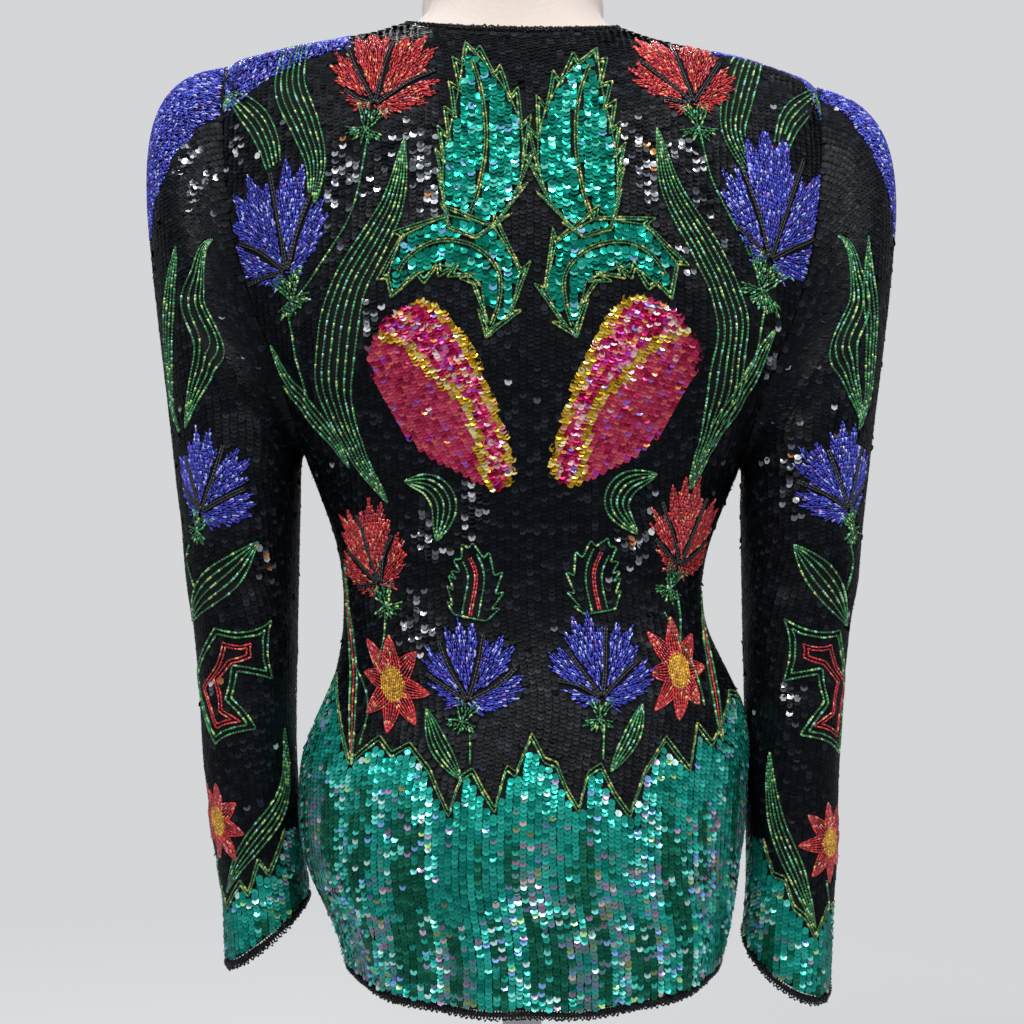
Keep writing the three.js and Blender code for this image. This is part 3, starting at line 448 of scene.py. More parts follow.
def body_coordinates(side, grid):
    """The length across, from the middle, and the length up of points on the back or a front.

    Both are measured on the smooth form. Above STRAIGHT_ABOVE the lines up the cloth keep their x.
    """
    heights = np.arange(*COORDINATE_HEIGHTS)
    turns = np.linspace(0, np.pi / 2, 91)
    held = np.minimum(heights, STRAIGHT_ABOVE)
    power = power_at(held)[:, None]
    x = half_at(held)[:, None] * np.sin(turns) ** (2 / power)
    y = depth_at[side](held)[:, None] * np.cos(turns) ** (2 / power)
    steps = np.hypot(np.diff(x, axis=1), np.diff(y, axis=1))
    across = np.concatenate([np.zeros((len(heights), 1)), np.cumsum(steps, 1)], 1)
    lines = np.arange(0, across.max() + COORDINATE_STEP, COORDINATE_STEP)
    line_x = np.array([np.interp(lines, across[k], x[k]) for k in range(len(heights))])
    share = np.minimum(1, line_x / half_at(heights)[:, None])
    power = power_at(heights)[:, None]
    line_y = depth_at[side](heights)[:, None] * (1 - share**power) ** (1 / power)
    rise = np.sqrt(np.diff(line_x, axis=0) ** 2 + np.diff(line_y, axis=0) ** 2 + COORDINATE_HEIGHTS[2] ** 2)
    up = np.concatenate([np.zeros((1, len(lines))), np.cumsum(rise, 0)])
    level = np.searchsorted(heights, UNDERARM_Z)
    up += UNDERARM_Z - up[level]

    points = grid.reshape(-1, 3)
    px, py, pz = np.abs(points[:, 0]), np.abs(points[:, 1]), points[:, 2]
    low = np.minimum(pz, STRAIGHT_ABOVE)
    power = power_at(low) / 2
    wide = np.clip(px / half_at(low), 0, 1) ** power
    deep = (py / depth_at[side](low)) ** power
    turn = np.where(pz < STRAIGHT_ABOVE, np.arctan2(wide, deep), np.arcsin(wide))
    row = (pz - heights[0]) / COORDINATE_HEIGHTS[2]
    u = cell(across, row, turn / turns[1])[0]
    v = cell(up, row, u / COORDINATE_STEP)[0]
    return u.reshape(grid.shape[:2]), v.reshape(grid.shape[:2])


class Panel:
    """A panel of cloth: a fine grid of points with its cloth coordinates and photograph pixels."""

    def __init__(self, name, coarse, kind):
        is_sleeve = kind == "sleeve"
        grid = refined(coarse, REFINE_ROWS, 0)
        grid = refined(grid, REFINE_COLUMNS, 1, wrapped=is_sleeve)
        self.name = name
        self.is_sleeve = is_sleeve
        if is_sleeve:
            self.lay_coordinates(grid, ARMHOLE_ROWS * REFINE_COLUMNS, CAP_ROWS * REFINE_ROWS)
        else:
            self.u, self.v = body_coordinates(-1 if kind == "back" else 1, grid)
            if kind == "back":
                self.u *= np.sign(grid[..., 0])
        grid = settle(grid, is_sleeve)
        self.points = grid
        self.normals = self.outward_normals(grid)
        mirror = -1 if name.endswith("left") else 1
        for crease in CREASES[kind]:
            lift = ridge(self.u, self.v, crease, mirror * CREASE_SHIFT) * self.inner_fade()
            self.points = self.points + self.normals * lift[..., None]
        self.normals = self.outward_normals(self.points)
        self.find_pixels()

    def inner_fade(self):
        """0 at the panel's edges and 1 a little inside them."""
        rows, columns = self.u.shape
        j, i = np.arange(rows)[:, None], np.arange(columns)[None, :]
        fade = smoothstep(0, INNER_FADE, j) * smoothstep(0, INNER_FADE, rows - 1 - j)
        return fade * smoothstep(0, INNER_FADE, i) * smoothstep(0, INNER_FADE, columns - 1 - i)

    def lay_coordinates(self, grid, zero, level):
        """v is the length up a column, from its height at the level row, and u that across it."""
        length = np.linalg.norm(np.diff(grid, axis=0), axis=-1)
        total = np.concatenate([np.zeros((1, grid.shape[1])), np.cumsum(length, 0)])
        self.v = grid[level, :, 2] - (total - total[level])
        upward = unit(np.gradient(grid, axis=0))
        step = np.diff(grid, axis=1)
        middle = (upward[:, 1:] + upward[:, :-1]) / 2
        step = step - middle * (step * middle).sum(-1, keepdims=True)
        width = np.linalg.norm(step, axis=-1)
        total = np.concatenate([np.zeros((grid.shape[0], 1)), np.cumsum(width, 1)], 1)
        self.u = total[:, zero : zero + 1] - total

    def outward_normals(self, grid):
        ring = grid[:, :-1] if self.is_sleeve else grid
        normals = grid_normals(ring, wrapped=self.is_sleeve)
        if self.is_sleeve:
            normals = np.concatenate([normals, normals[:, :1]], 1)
        j, i = grid.shape[0] * 3 // 4, grid.shape[1] // 2
        if self.is_sleeve:
            middle = grid[j].mean(0)
        else:
            middle = np.array([0, 0, grid[j, i, 2]])
        return normals * (1 if normals[j, i] @ (grid[j, i] - middle) > 0 else -1)

    def find_pixels(self):
        depth = CAMERA_DISTANCE + self.points[..., 1] * MM
        scale = CAMERA_DISTANCE / depth / METRES_PER_PIXEL
        self.px = MIDDLE_PIXEL + (self.points[..., 0] * MM - CAMERA_X) * scale
        self.py = MIDDLE_PIXEL - (self.points[..., 2] * MM - CAMERA_HEIGHT) * scale
        self.seen = self.normals[..., 1] < -0.05

    def solve(self, first, second, wanted, among=None):
        """Row and column numbers where the grids first and second take the wanted values."""
        keep = np.ones(first.shape, bool) if among is None else among
        rows, columns = np.nonzero(keep)
        tree = flat_tree(np.stack([first[keep], second[keep]], -1))
        near = [tree.find((a, b, 0))[1] for a, b in wanted]
        j, i = rows[near].astype(float), columns[near].astype(float)
        for _ in range(7):
            a, a_down, a_across = cell(first, j, i)
            b, b_down, b_across = cell(second, j, i)
            area = a_down * b_across - a_across * b_down
            area = np.where(np.abs(area) < 1e-6, 1e-6, area)
            da, db = wanted[:, 0] - a, wanted[:, 1] - b
            j = j + np.clip((da * b_across - db * a_across) / area, -2, 2)
            i = i + np.clip((db * a_down - da * b_down) / area, -2, 2)
            j = np.clip(j, -3, first.shape[0] + 2)
            i = np.clip(i, -3, first.shape[1] + 2)
        return j, i

    def from_photo(self, pixels):
        """Cloth coordinates of points given as pixels of the photograph."""
        wanted = np.atleast_2d(np.asarray(pixels, float))
        j, i = self.solve(self.px, self.py, wanted, self.seen)
        j = np.clip(j, 0, self.u.shape[0] - 1)
        i = np.clip(i, 0, self.u.shape[1] - 1)
        return np.stack([cell(self.u, j, i)[0], cell(self.v, j, i)[0]], -1)

    def place(self, uv):
        """Points, normals, upward directions and whether each lies on the panel."""
        j, i = self.solve(self.u, self.v, uv)
        point, down, across = cell(self.points, j, i)
        normal = unit(cell(self.normals, j, i)[0])
        on_panel = np.abs(cell(self.u, j, i)[0] - uv[:, 0]) < 1
        on_panel &= np.abs(cell(self.v, j, i)[0] - uv[:, 1]) < 1
        for number, count, step in zip((j, i), self.u.shape, (down, across)):
            size = np.linalg.norm(step, axis=-1)
            on_panel &= (number * size >= EDGE_MARGIN) & ((count - 1 - number) * size >= EDGE_MARGIN)
        upward = unit(down) * (-1 if self.v[-1, 0] < self.v[0, 0] else 1)
        upward = unit(upward - normal * (upward * normal).sum(-1, keepdims=True))
        return point, normal, upward, on_panel


back_coarse = np.concatenate([half_panel(-1, 0, -1)[:, :0:-1], half_panel(-1, 0, 1)], axis=1)
back = Panel("back", back_coarse, "back")
front_right = Panel("front_right", half_panel(1, FRONT_INSET, 1), "front")
front_left = Panel("front_left", half_panel(1, FRONT_INSET, -1), "front")
sleeve_right = Panel("sleeve_right", sleeve_grid(1), "sleeve")
sleeve_left = Panel("sleeve_left", sleeve_grid(-1), "sleeve")
PANELS = [back, front_right, front_left, sleeve_right, sleeve_left]


def mesh_object(name, points, faces, material):
    """A mesh object from points in millimetres and an array, or a list of arrays, of faces."""
    blocks = faces if isinstance(faces, list) else [faces]
    mesh = bpy.data.meshes.new(name)
    mesh.vertices.add(len(points))
    mesh.vertices.foreach_set("co", (np.asarray(points) * MM).astype(np.float32).ravel())
    corners = np.concatenate([block.ravel() for block in blocks]).astype(np.int32)
    sizes = np.concatenate([np.full(len(block), block.shape[1]) for block in blocks])
    mesh.loops.add(len(corners))
    mesh.loops.foreach_set("vertex_index", corners)
    mesh.polygons.add(len(sizes))
    starts = np.concatenate([[0], np.cumsum(sizes)[:-1]]).astype(np.int32)
    mesh.polygons.foreach_set("loop_start", starts)
    mesh.polygons.foreach_set("use_smooth", np.ones(len(sizes), bool))
    mesh.update(calc_edges=True)
    mesh.validate()
    made = bpy.data.objects.new(name, mesh)
    bpy.context.scene.collection.objects.link(made)
    mesh.materials.append(material)
    return made


def paint(piece, values, layer="tint"):
    """Stores one colour for each vertex."""
    colours = np.ones((len(values), 4), np.float32)
    colours[:, :3] = values
    attribute = piece.data.color_attributes.new(layer, "FLOAT_COLOR", "POINT")
    attribute.data.foreach_set("color", colours.ravel())


def turn_faces_outward(piece):
    bm = bmesh.new()
    bm.from_mesh(piece.data)
    bmesh.ops.recalc_face_normals(bm, faces=bm.faces)
    bm.to_mesh(piece.data)
    bm.free()


def cloth_piece(panel, material):
    """The panel's silk: a thin closed shell just under the solid's outer face."""
    rows, columns = panel.u.shape
    outer = panel.points - panel.normals * CLOTH_DEPTH
    inner = outer - panel.normals * CLOTH_THICKNESS
    if panel.is_sleeve:
        outer, inner = outer[:, :-1], inner[:, :-1]
        columns -= 1
    points = np.concatenate([outer.reshape(-1, 3), inner.reshape(-1, 3)])
    layer = rows * columns
    across = np.arange(columns if panel.is_sleeve else columns - 1)
    after = (across + 1) % columns
    j = np.arange(rows - 1)[:, None] * columns
    quads = np.stack([j + across, j + after, j + columns + after, j + columns + across], -1)
    faces = [quads.reshape(-1, 4), quads.reshape(-1, 4)[:, ::-1] + layer]
    top = (rows - 1) * columns
    faces.append(np.stack([after, across, across + layer, after + layer], -1))
    faces.append(np.stack([across, after, after + layer, across + layer], -1) + top)
    if not panel.is_sleeve:
        down = np.arange(rows - 1) * columns
        up, end = down + columns, columns - 1
        faces.append(np.stack([down, up, up + layer, down + layer], -1))
        faces.append(np.stack([up, down, down + layer, up + layer], -1) + end)
    made = mesh_object(panel.name + "_cloth", points, np.concatenate(faces), material)
    turn_faces_outward(made)
    weave = made.data.uv_layers.new(name="weave")
    u, v = panel.u[:, :columns].ravel(), panel.v[:, :columns].ravel()
    flat = np.tile(np.stack([u, v], -1) * MM, (2, 1))
    index = np.zeros(len(made.data.loops), np.int32)
    made.data.loops.foreach_get("vertex_index", index)
    weave.data.foreach_set("uv", flat[index].astype(np.float32).ravel())
    return made


class Nodes:
    """A short way to write a material's nodes."""

    def __init__(self, name):
        self.material = bpy.data.materials.new(name)
        self.material.use_nodes = True
        self.tree = self.material.node_tree
        self.shader = self.tree.nodes["Principled BSDF"]

    def add(self, kind, **values):
        node = self.tree.nodes.new("ShaderNode" + kind)
        for key, value in values.items():
            if key in node.inputs:
                node.inputs[key].default_value = value
            else:
                setattr(node, key, value)
        return node

    def link(self, source, target):
        self.tree.links.new(source, target)

    def set(self, **values):
        for key, value in values.items():
            self.shader.inputs[key.replace("_", " ")].default_value = value

    def ramp(self, source, stops):
        node = self.add("ValToRGB")
        elements = node.color_ramp.elements
        while len(elements) < len(stops):
            elements.new(0.5)
        for element, (place, colour) in zip(elements, stops):
            element.position = place
            element.color = (*colour, 1) if len(colour) == 3 else colour
        self.link(source, node.inputs["Fac"])
        return node.outputs["Color"]

    def bump(self, height, strength, distance):
        node = self.add("Bump", Strength=strength, Distance=distance)
        self.link(height, node.inputs["Height"])
        self.link(node.outputs["Normal"], self.shader.inputs["Normal"])

    def mix(self, factor, first, second):
        """A colour between two, each a socket or a colour."""
        node = self.add("Mix", data_type="RGBA")
        for socket, value in ((0, factor), (6, first), (7, second)):
            if isinstance(value, bpy.types.NodeSocket):
                self.link(value, node.inputs[socket])
            else:
                node.inputs[socket].default_value = value if socket == 0 else (*value, 1)
        return node.outputs[2]

    def math(self, operation, *values):
        node = self.add("Math", operation=operation)
        for socket, value in zip(node.inputs, values):
            if isinstance(value, bpy.types.NodeSocket):
                self.link(value, socket)
            else:
                socket.default_value = value
        return node.outputs[0]


def silk_material():
    """Black silk under the beads: a fine plain weave with the tambour stitches' vertical rows."""
    n = Nodes("black_silk")
    uv = n.add("UVMap", uv_map="weave").outputs["UV"]
    warp = n.add("TexWave", wave_type="BANDS", bands_direction="X", Scale=700.0, Distortion=0.4)
    weft = n.add("TexWave", wave_type="BANDS", bands_direction="Y", Scale=560.0, Distortion=0.5)
    patches = n.add("TexNoise", Scale=38.0, Detail=4.0)
    for node in (warp, weft, patches):
        n.link(uv, node.inputs["Vector"])
    height = n.math("ADD", warp.outputs["Fac"], weft.outputs["Fac"])
    n.bump(height, 0.5, 0.0003)
    colour = n.ramp(patches.outputs["Fac"], [(0.3, (0.003, 0.0035, 0.005)), (0.75, (0.008, 0.0085, 0.011))])
    n.link(colour, n.shader.inputs["Base Color"])
    rough = n.math("MULTIPLY_ADD", patches.outputs["Fac"], 0.25, 0.42)
    n.link(rough, n.shader.inputs["Roughness"])
    n.set(Specular_IOR_Level=0.22, Sheen_Weight=0.03, Sheen_Roughness=0.4)
    return n.material


def jersey_material():
    """The form's cream jersey: fine ribs, a few slubs and faint handling marks."""
    n = Nodes("cream_jersey")
    place = n.add("TexCoord").outputs["Object"]
    ribs = n.add("TexWave", wave_type="BANDS", bands_direction="Z", Scale=420.0, Distortion=2.5)
    slubs = n.add("TexNoise", Scale=900.0, Detail=3.0)
    marks = n.add("TexNoise", Scale=9.0, Detail=5.0)
    for node in (ribs, slubs, marks):
        n.link(place, node.inputs["Vector"])
    height = n.math("MULTIPLY_ADD", ribs.outputs["Fac"], 0.6, slubs.outputs["Fac"])
    n.bump(height, 0.35, 0.0004)
    base = n.ramp(marks.outputs["Fac"], [(0.3, (0.62, 0.53, 0.48)), (0.7, (0.72, 0.64, 0.585))])
    colour = n.mix(n.math("MULTIPLY", slubs.outputs["Fac"], 0.3), base, (0.5, 0.42, 0.37))
    n.link(colour, n.shader.inputs["Base Color"])
    n.set(Roughness=0.85, Sheen_Weight=0.25, Sheen_Roughness=0.5, Specular_IOR_Level=0.3)
    return n.material


def metal_material(name, colour, metallic, rough, along):
    """Brushed or painted metal with fine streaks along one axis and a few scuffs."""
    n = Nodes(name)
    place = n.add("TexCoord").outputs["Object"]
    mapping = n.add("Mapping")
    mapping.inputs["Scale"].default_value = along
    n.link(place, mapping.inputs["Vector"])
    streaks = n.add("TexNoise", Scale=60.0, Detail=5.0)
    n.link(mapping.outputs["Vector"], streaks.inputs["Vector"])
    scuffs = n.add("TexNoise", Scale=14.0, Detail=8.0, Roughness=0.7)
    n.link(place, scuffs.inputs["Vector"])
    darker = tuple(0.82 * c for c in colour)
    n.link(n.mix(streaks.outputs["Fac"], darker, colour), n.shader.inputs["Base Color"])
    worn = n.math("MULTIPLY_ADD", scuffs.outputs["Fac"], 0.22, rough)
    n.link(worn, n.shader.inputs["Roughness"])
    n.bump(streaks.outputs["Fac"], 0.12, 0.0003)
    n.set(Metallic=metallic)
    return n.material


silk = silk_material()
jersey = jersey_material()
steel = metal_material("brushed_steel", (0.56, 0.57, 0.58), 1.0, 0.24, (1, 1, 14))
base_paint = metal_material("base_paint", (0.55, 0.53, 0.5), 0.0, 0.38, (1, 1, 1))

cloths = {panel.name: cloth_piece(panel, silk) for panel in PANELS}
for panel in PANELS:
    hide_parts(panel.name)


SHARP_FROM = math.radians(50)
CREASED = 0.75


def smooth_copy(node, name, material):
    """A smooth piece on a faceted CAD node."""
    made = bpy.data.objects.new(name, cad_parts[node].data.copy())
    bpy.context.scene.collection.objects.link(made)
    bm = bmesh.new()
    bm.from_mesh(made.data)
    bmesh.ops.remove_doubles(bm, verts=bm.verts, dist=1e-5)
    bmesh.ops.recalc_face_normals(bm, faces=bm.faces)
    for edge in bm.edges:
        edge.smooth = edge.calc_face_angle(0) < SHARP_FROM
    for face in bm.faces:
        face.smooth = True
    crease = bm.edges.layers.float.new("crease_edge")
    for edge in bm.edges:
        if not edge.smooth:
            edge[crease] = CREASED
    bm.to_mesh(made.data)
    bm.free()
    made.data.materials.clear()
    made.data.materials.append(material)
    modifier = made.modifiers.new("smooth", "SUBSURF")
    modifier.levels = modifier.render_levels = 1
    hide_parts(node)
    return made


form = smooth_copy("form_torso", "form_torso_jersey", jersey)


def turned_piece(name, node, profile, material, steps=96):
    """A turned piece on the CAD node's axis, from radii and heights that start and end on it."""
    turn = 2 * np.pi * np.arange(steps) / steps
    rings = profile[1:-1]
    points = [
        np.stack([r * np.cos(turn), r * np.sin(turn), np.full(steps, z)], -1) for r, z in rings
    ]
    points = np.concatenate([*points, [[0, 0, profile[0][1]], [0, 0, profile[-1][1]]]])
    i = np.arange(steps)
    after = (i + 1) % steps
    quads = np.concatenate([
        np.stack([i, after, after + steps, i + steps], -1) + k * steps for k in range(len(rings) - 1)
    ])
    low, high = len(points) - 2, len(points) - 1
    last = (len(rings) - 1) * steps
    fans = np.concatenate([
        np.stack([np.full(steps, low), after, i], -1),
        np.stack([np.full(steps, high), i + last, after + last], -1),
    ])
    made = mesh_object(name, points, [quads, fans], material)
    made.data.set_sharp_from_angle(angle=math.radians(40))
    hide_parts(node)
    return made


def rounded(r, z, radius, steps=6):
    """Points of a quarter round about (r, z), from its outermost point to its top."""
    turns = np.arange(steps + 1) / steps * math.pi / 2
    return [(r + radius * math.cos(t), z + radius * math.sin(t)) for t in turns]


def radius_and_heights(box):
    """The radius and the lowest and highest z, in millimetres, of a round CAD node with this box."""
    low, high = [corner * 1000 for corner in box]
    return high.x, low.z, high.z


def base_disc():
    """The round base, with a boss that the pole stands in."""
    radius, _, boss_top = radius_and_heights(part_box("stand_base"))
    height, rim, boss, boss_rim = 9, 3, 30, 1.4
    profile = [(0, 0), (radius - 0.8, 0), (radius, 0.8)]
    profile += rounded(radius - rim, height - rim, rim)
    profile += [(boss + 9, height), (boss + 4, height + 0.8), (boss + 1.2, height + 2.4)]
    profile += [(boss - 0.4, height + 5), (boss - 2.6, boss_top - boss_rim)]
    profile += rounded(boss - 4, boss_top - boss_rim, boss_rim)
    profile += [(0, boss_top)]
    return turned_piece("stand_base_disc", "stand_base", profile, base_paint)


def pole_tube():
    """The pole, with a narrow groove where its two tubes meet."""
    r, low, high = radius_and_heights(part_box("stand_pole"))
    joint = low + 0.62 * (high - low)
    groove = 0.7
    profile = [(0, low), (r, low), (r, joint - 9), (r, joint - 8.4), (r - groove, joint - 8)]
    profile += [(r - groove, joint + 8), (r, joint + 8.4), (r, joint + 9), (r, high), (0, high)]
    return turned_piece("stand_pole_tube", "stand_pole", profile, steel, 64)


def collar_flange():
    """The collar under the form, widening to a flange."""
    r, low, high = radius_and_heights(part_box("form_collar"))
    profile = [(0, low), (19, low), (20, low + 1), (20.8, high - 7)]
    profile += [(22.5, high - 5), (r - 1.2, high - 4), (r, high - 3), (r, high - 0.6)]
    profile += [(r - 0.6, high), (0, high)]
    return turned_piece("form_collar_flange", "form_collar", profile, steel)


stand_pieces = [base_disc(), pole_tube(), collar_flange()]

FLOOR_RADIUS = 1700
FLOOR_FADE = (("From Min", 0.55), ("From Max", 1.6), ("To Min", 0.0), ("To Max", 1.0))  # metres out
FLOOR_GREY = (0.5, 0.5, 0.51, 1)
BACKDROP = (0.66, 0.67, 0.68, 1)
SKY_STOPS = ((0.3, (0.1, 0.1, 0.11, 1)), (0.95, (0.75, 0.78, 0.82, 1)))  # from below to overhead
SKY_STRENGTH = 0.7
LIT_PLACE = Vector((0, 0, 0.55))
# name, place, size, watts, whether gloss shows it
LAMPS = [
    ("key", (-0.7, -1.9, 2.1), 0.9, 34, False), ("fill", (1.9, -1.3, 1.2), 1.2, 14, False),
    ("ceiling", (0.3, -1.2, 2.4), 0.22, 12, True),
    ("ceiling_left", (-0.9, -1.3, 2.2), 0.22, 11, True),
    ("ceiling_right", (1.3, -1.1, 2.3), 0.22, 8, True),
    ("front_ceiling", (-0.3, 1.5, 2.3), 0.22, 11, True),
    ("front_key", (0.6, 1.9, 2.0), 0.9, 26, False), ("front_fill", (-1.6, 1.5, 0.9), 1.0, 12, False),
]


def add_floor():
    """A plain pale floor that fades out into the background."""
    n = Nodes("floor")
    place = n.add("TexCoord").outputs["Object"]
    distance = n.add("VectorMath", operation="LENGTH")
    n.link(place, distance.inputs[0])
    edge = n.add("MapRange")
    for key, value in FLOOR_FADE:
        edge.inputs[key].default_value = value
    n.link(distance.outputs["Value"], edge.inputs["Value"])
    n.set(Base_Color=FLOOR_GREY, Roughness=0.8, Specular_IOR_Level=0.2)
    clear = n.add("BsdfTransparent")
    mix = n.add("MixShader")
    n.link(edge.outputs["Result"], mix.inputs[0])
    n.link(n.shader.outputs["BSDF"], mix.inputs[1])
    n.link(clear.outputs["BSDF"], mix.inputs[2])
    n.link(mix.outputs["Shader"], n.tree.nodes["Material Output"].inputs["Surface"])
    steps = 96
    turn = 2 * np.pi * np.arange(steps) / steps
    rim = np.stack([FLOOR_RADIUS * np.cos(turn), FLOOR_RADIUS * np.sin(turn), np.zeros(steps)], -1)
    floor = mesh_object("floor", rim, np.arange(steps)[None, :], n.material)


def add_background():
    """A plain pale background, and a soft light that grows from below to overhead."""
    world = bpy.data.worlds.new("studio")
    bpy.context.scene.world = world
    world.use_nodes = True
    tree = world.node_tree
    shown = tree.nodes["Background"]
    shown.inputs["Color"].default_value = BACKDROP
    shown.inputs["Strength"].default_value = 1.0
    lit = tree.nodes.new("ShaderNodeBackground")
    place = tree.nodes.new("ShaderNodeTexCoord")
    split = tree.nodes.new("ShaderNodeSeparateXYZ")
    tree.links.new(place.outputs["Generated"], split.inputs[0])
    ramp = tree.nodes.new("ShaderNodeValToRGB")
    for element, (position, colour) in zip(ramp.color_ramp.elements, SKY_STOPS):
        element.position = position
        element.color = colour
    height = tree.nodes.new("ShaderNodeMapRange")
    height.inputs["From Min"].default_value = -1
    tree.links.new(split.outputs["Z"], height.inputs["Value"])
    tree.links.new(height.outputs["Result"], ramp.inputs["Fac"])
    tree.links.new(ramp.outputs["Color"], lit.inputs["Color"])
    lit.inputs["Strength"].default_value = SKY_STRENGTH
    path = tree.nodes.new("ShaderNodeLightPath")
    mix = tree.nodes.new("ShaderNodeMixShader")
    tree.links.new(path.outputs["Is Camera Ray"], mix.inputs[0])
    tree.links.new(lit.outputs["Background"], mix.inputs[1])
    tree.links.new(shown.outputs["Background"], mix.inputs[2])
    tree.links.new(mix.outputs["Shader"], tree.nodes["World Output"].inputs["Surface"])


def add_lamps():
    """Soft lamps, all aimed at the middle of the top."""
    for name, place, size, watts, in_gloss in LAMPS:
        light = bpy.data.lights.new(name, "AREA")
        light.energy = watts
        light.size = size
        lamp = bpy.data.objects.new(name, light)
        lamp.visible_glossy = in_gloss
        lamp.location = place
        lamp.rotation_euler = (LIT_PLACE - Vector(place)).to_track_quat("-Z", "Y").to_euler()
        bpy.context.scene.collection.objects.link(lamp)


def add_camera():
    """The photograph's view."""
    camera = bpy.data.cameras.new("camera")
    camera.sensor_width = SENSOR_WIDTH
    camera.lens = SENSOR_WIDTH * CAMERA_DISTANCE / (FRAME_PIXELS * METRES_PER_PIXEL)
    eye = bpy.data.objects.new("camera", camera)
    eye.location = (CAMERA_X, -CAMERA_DISTANCE, CAMERA_HEIGHT)
    eye.rotation_euler = (math.pi / 2, 0, 0)
    bpy.context.scene.collection.objects.link(eye)
    bpy.context.scene.camera = eye
    bpy.context.scene.view_settings.view_transform = "Standard"


add_floor()
add_background()
add_lamps()
add_camera()


def rgb(red, green, blue):
    """A linear colour from the one that a screen shows, each 0 to 255."""
    shown = np.array([red, green, blue]) / 255
    return np.where(shown <= 0.04045, shown / 12.92, ((shown + 0.055) / 1.055) ** 2.4)


# How often each colour comes, and the colour as a screen shows it; the palest coloured beads are painted
# highlights
BEAD_COLOURS_AND_HIGHLIGHTS = {
    "green": [
        (5, 20, 104, 52), (4, 12, 72, 36), (2.4, 60, 158, 84), (1.5, 176, 214, 128),
        (0.8, 130, 205, 180),
    ],
    "moss": [(4, 40, 112, 46), (4, 20, 80, 40), (2.4, 128, 150, 58), (1.1, 205, 196, 110)],
    "blue": [
        (5, 40, 48, 182), (4, 24, 30, 138), (2.4, 80, 94, 222), (1.5, 176, 188, 252),
        (0.4, 134, 84, 204),
    ],
    "red": [
        (5, 196, 22, 36), (4, 142, 12, 26), (2.2, 228, 62, 56), (0.7, 248, 170, 110),
        (0.6, 244, 140, 150),
    ],
    "yellow": [(5, 208, 150, 16), (2, 238, 190, 54), (1.5, 166, 106, 10)],
    "black": [(5, 9, 9, 12), (1, 26, 27, 32)],
}
# length and width
BEAD_SIZES = {
    "green": (2.1, 1.5), "moss": (2.1, 1.45), "blue": (2.5, 1.25), "red": (2.5, 1.25),
    "yellow": (2.1, 1.35), "black": (2.3, 1.5),
}
BEAD_STEP = 0.12  # between beads on a thread
BEAD_HIGH, BEAD_HALF_WIDE = 0.8, 0.55  # shares of the width
LONGEST_BEAD = 5  # longer ones would cross a fold of the coordinates
# Sequins likewise: the palest colours of leaf, pink and gold are painted highlights, and two tables are
# painted glints
SEQUIN_COLOURS_AND_HIGHLIGHTS = {
    "black": [(6, 8, 11, 15), (3, 15, 18, 23), (1, 30, 33, 39)],
    "teal": [(5, 28, 148, 132), (3, 42, 168, 152), (1.6, 12, 120, 108)],
    "leaf": [
        (5, 12, 128, 108), (3, 26, 158, 136), (1.6, 8, 98, 84), (1.2, 96, 218, 200),
        (0.5, 120, 190, 226),
    ],
    # Painted sparkles: pale cyan and white sequins in the border that stand in for glints
    "painted_sparkle": [
        (3, 66, 200, 184), (2, 116, 230, 216), (1.5, 200, 244, 238), (1, 130, 180, 240),
        (0.4, 190, 160, 208), (0.4, 176, 226, 150),
    ],
    # Painted glints: pale grey and white sequins that stand in for lamp glints on the black ground
    "painted_glint_grey": [(3, 104, 108, 114), (2, 164, 168, 174), (1.6, 226, 228, 232), (0.3, 190, 130, 84)],
    "pink": [
        (5, 182, 24, 78), (3, 212, 58, 108), (1.6, 236, 112, 160), (1.1, 198, 58, 188),
        (1.8, 246, 160, 96), (1.4, 150, 18, 58), (0.6, 160, 140, 236), (2, 252, 210, 208),
    ],
    "rose": [
        (5, 192, 52, 88), (3, 212, 80, 108), (1.6, 156, 30, 62), (0.9, 222, 104, 96),
        (0.5, 178, 92, 190),
    ],
    "gold": [
        (4, 204, 158, 40), (3, 222, 188, 80), (1.4, 166, 124, 24), (1.4, 246, 232, 160),
        (0.7, 232, 140, 160),
    ],
    "bottle": [(5, 18, 88, 68), (3, 26, 102, 80), (1, 34, 120, 98)],
    "frost": [
        (4, 92, 144, 138), (2, 112, 132, 156), (2, 62, 152, 136), (1, 146, 120, 148),
        (0.8, 96, 146, 182), (0.7, 128, 148, 96), (0.5, 196, 186, 186),
    ],
}
BRIGHTNESS = (0.82, 1.15)  # how far single beads and sequins differ


def drawn_colours(table, count):
    """Random colours from a table of weights and colours."""
    weights = np.array([row[0] for row in table], float)
    colours = np.array([rgb(*row[1:]) for row in table])
    picked = rng.choice(len(table), count, p=weights / weights.sum())
    return colours[picked] * rng.uniform(*BRIGHTNESS, (count, 1))


def spaced(line, step):
    """Points at even steps along a line."""
    line = np.asarray(line, float)
    length = np.concatenate([[0], np.cumsum(np.linalg.norm(np.diff(line, axis=0), axis=1))])
    at = np.linspace(0, length[-1], max(2, int(round(length[-1] / step)) + 1))
    return np.stack([np.interp(at, length, line[:, k]) for k in (0, 1)], -1)


def smooth_line(points, step=1.5):
    points = np.asarray(points, float)
    return spaced(refined(points, 12, 0) if len(points) > 2 else points, step)


def sideways(line):
    """Unit vectors to the left of a line."""
    along = unit(np.gradient(line, axis=0))
    return np.stack([-along[:, 1], along[:, 0]], -1)


def heading(angle, forward):
    """The direction forward, turned clockwise by an angle."""
    right = np.array([forward[1], -forward[0]])
    return math.cos(angle) * forward + math.sin(angle) * right


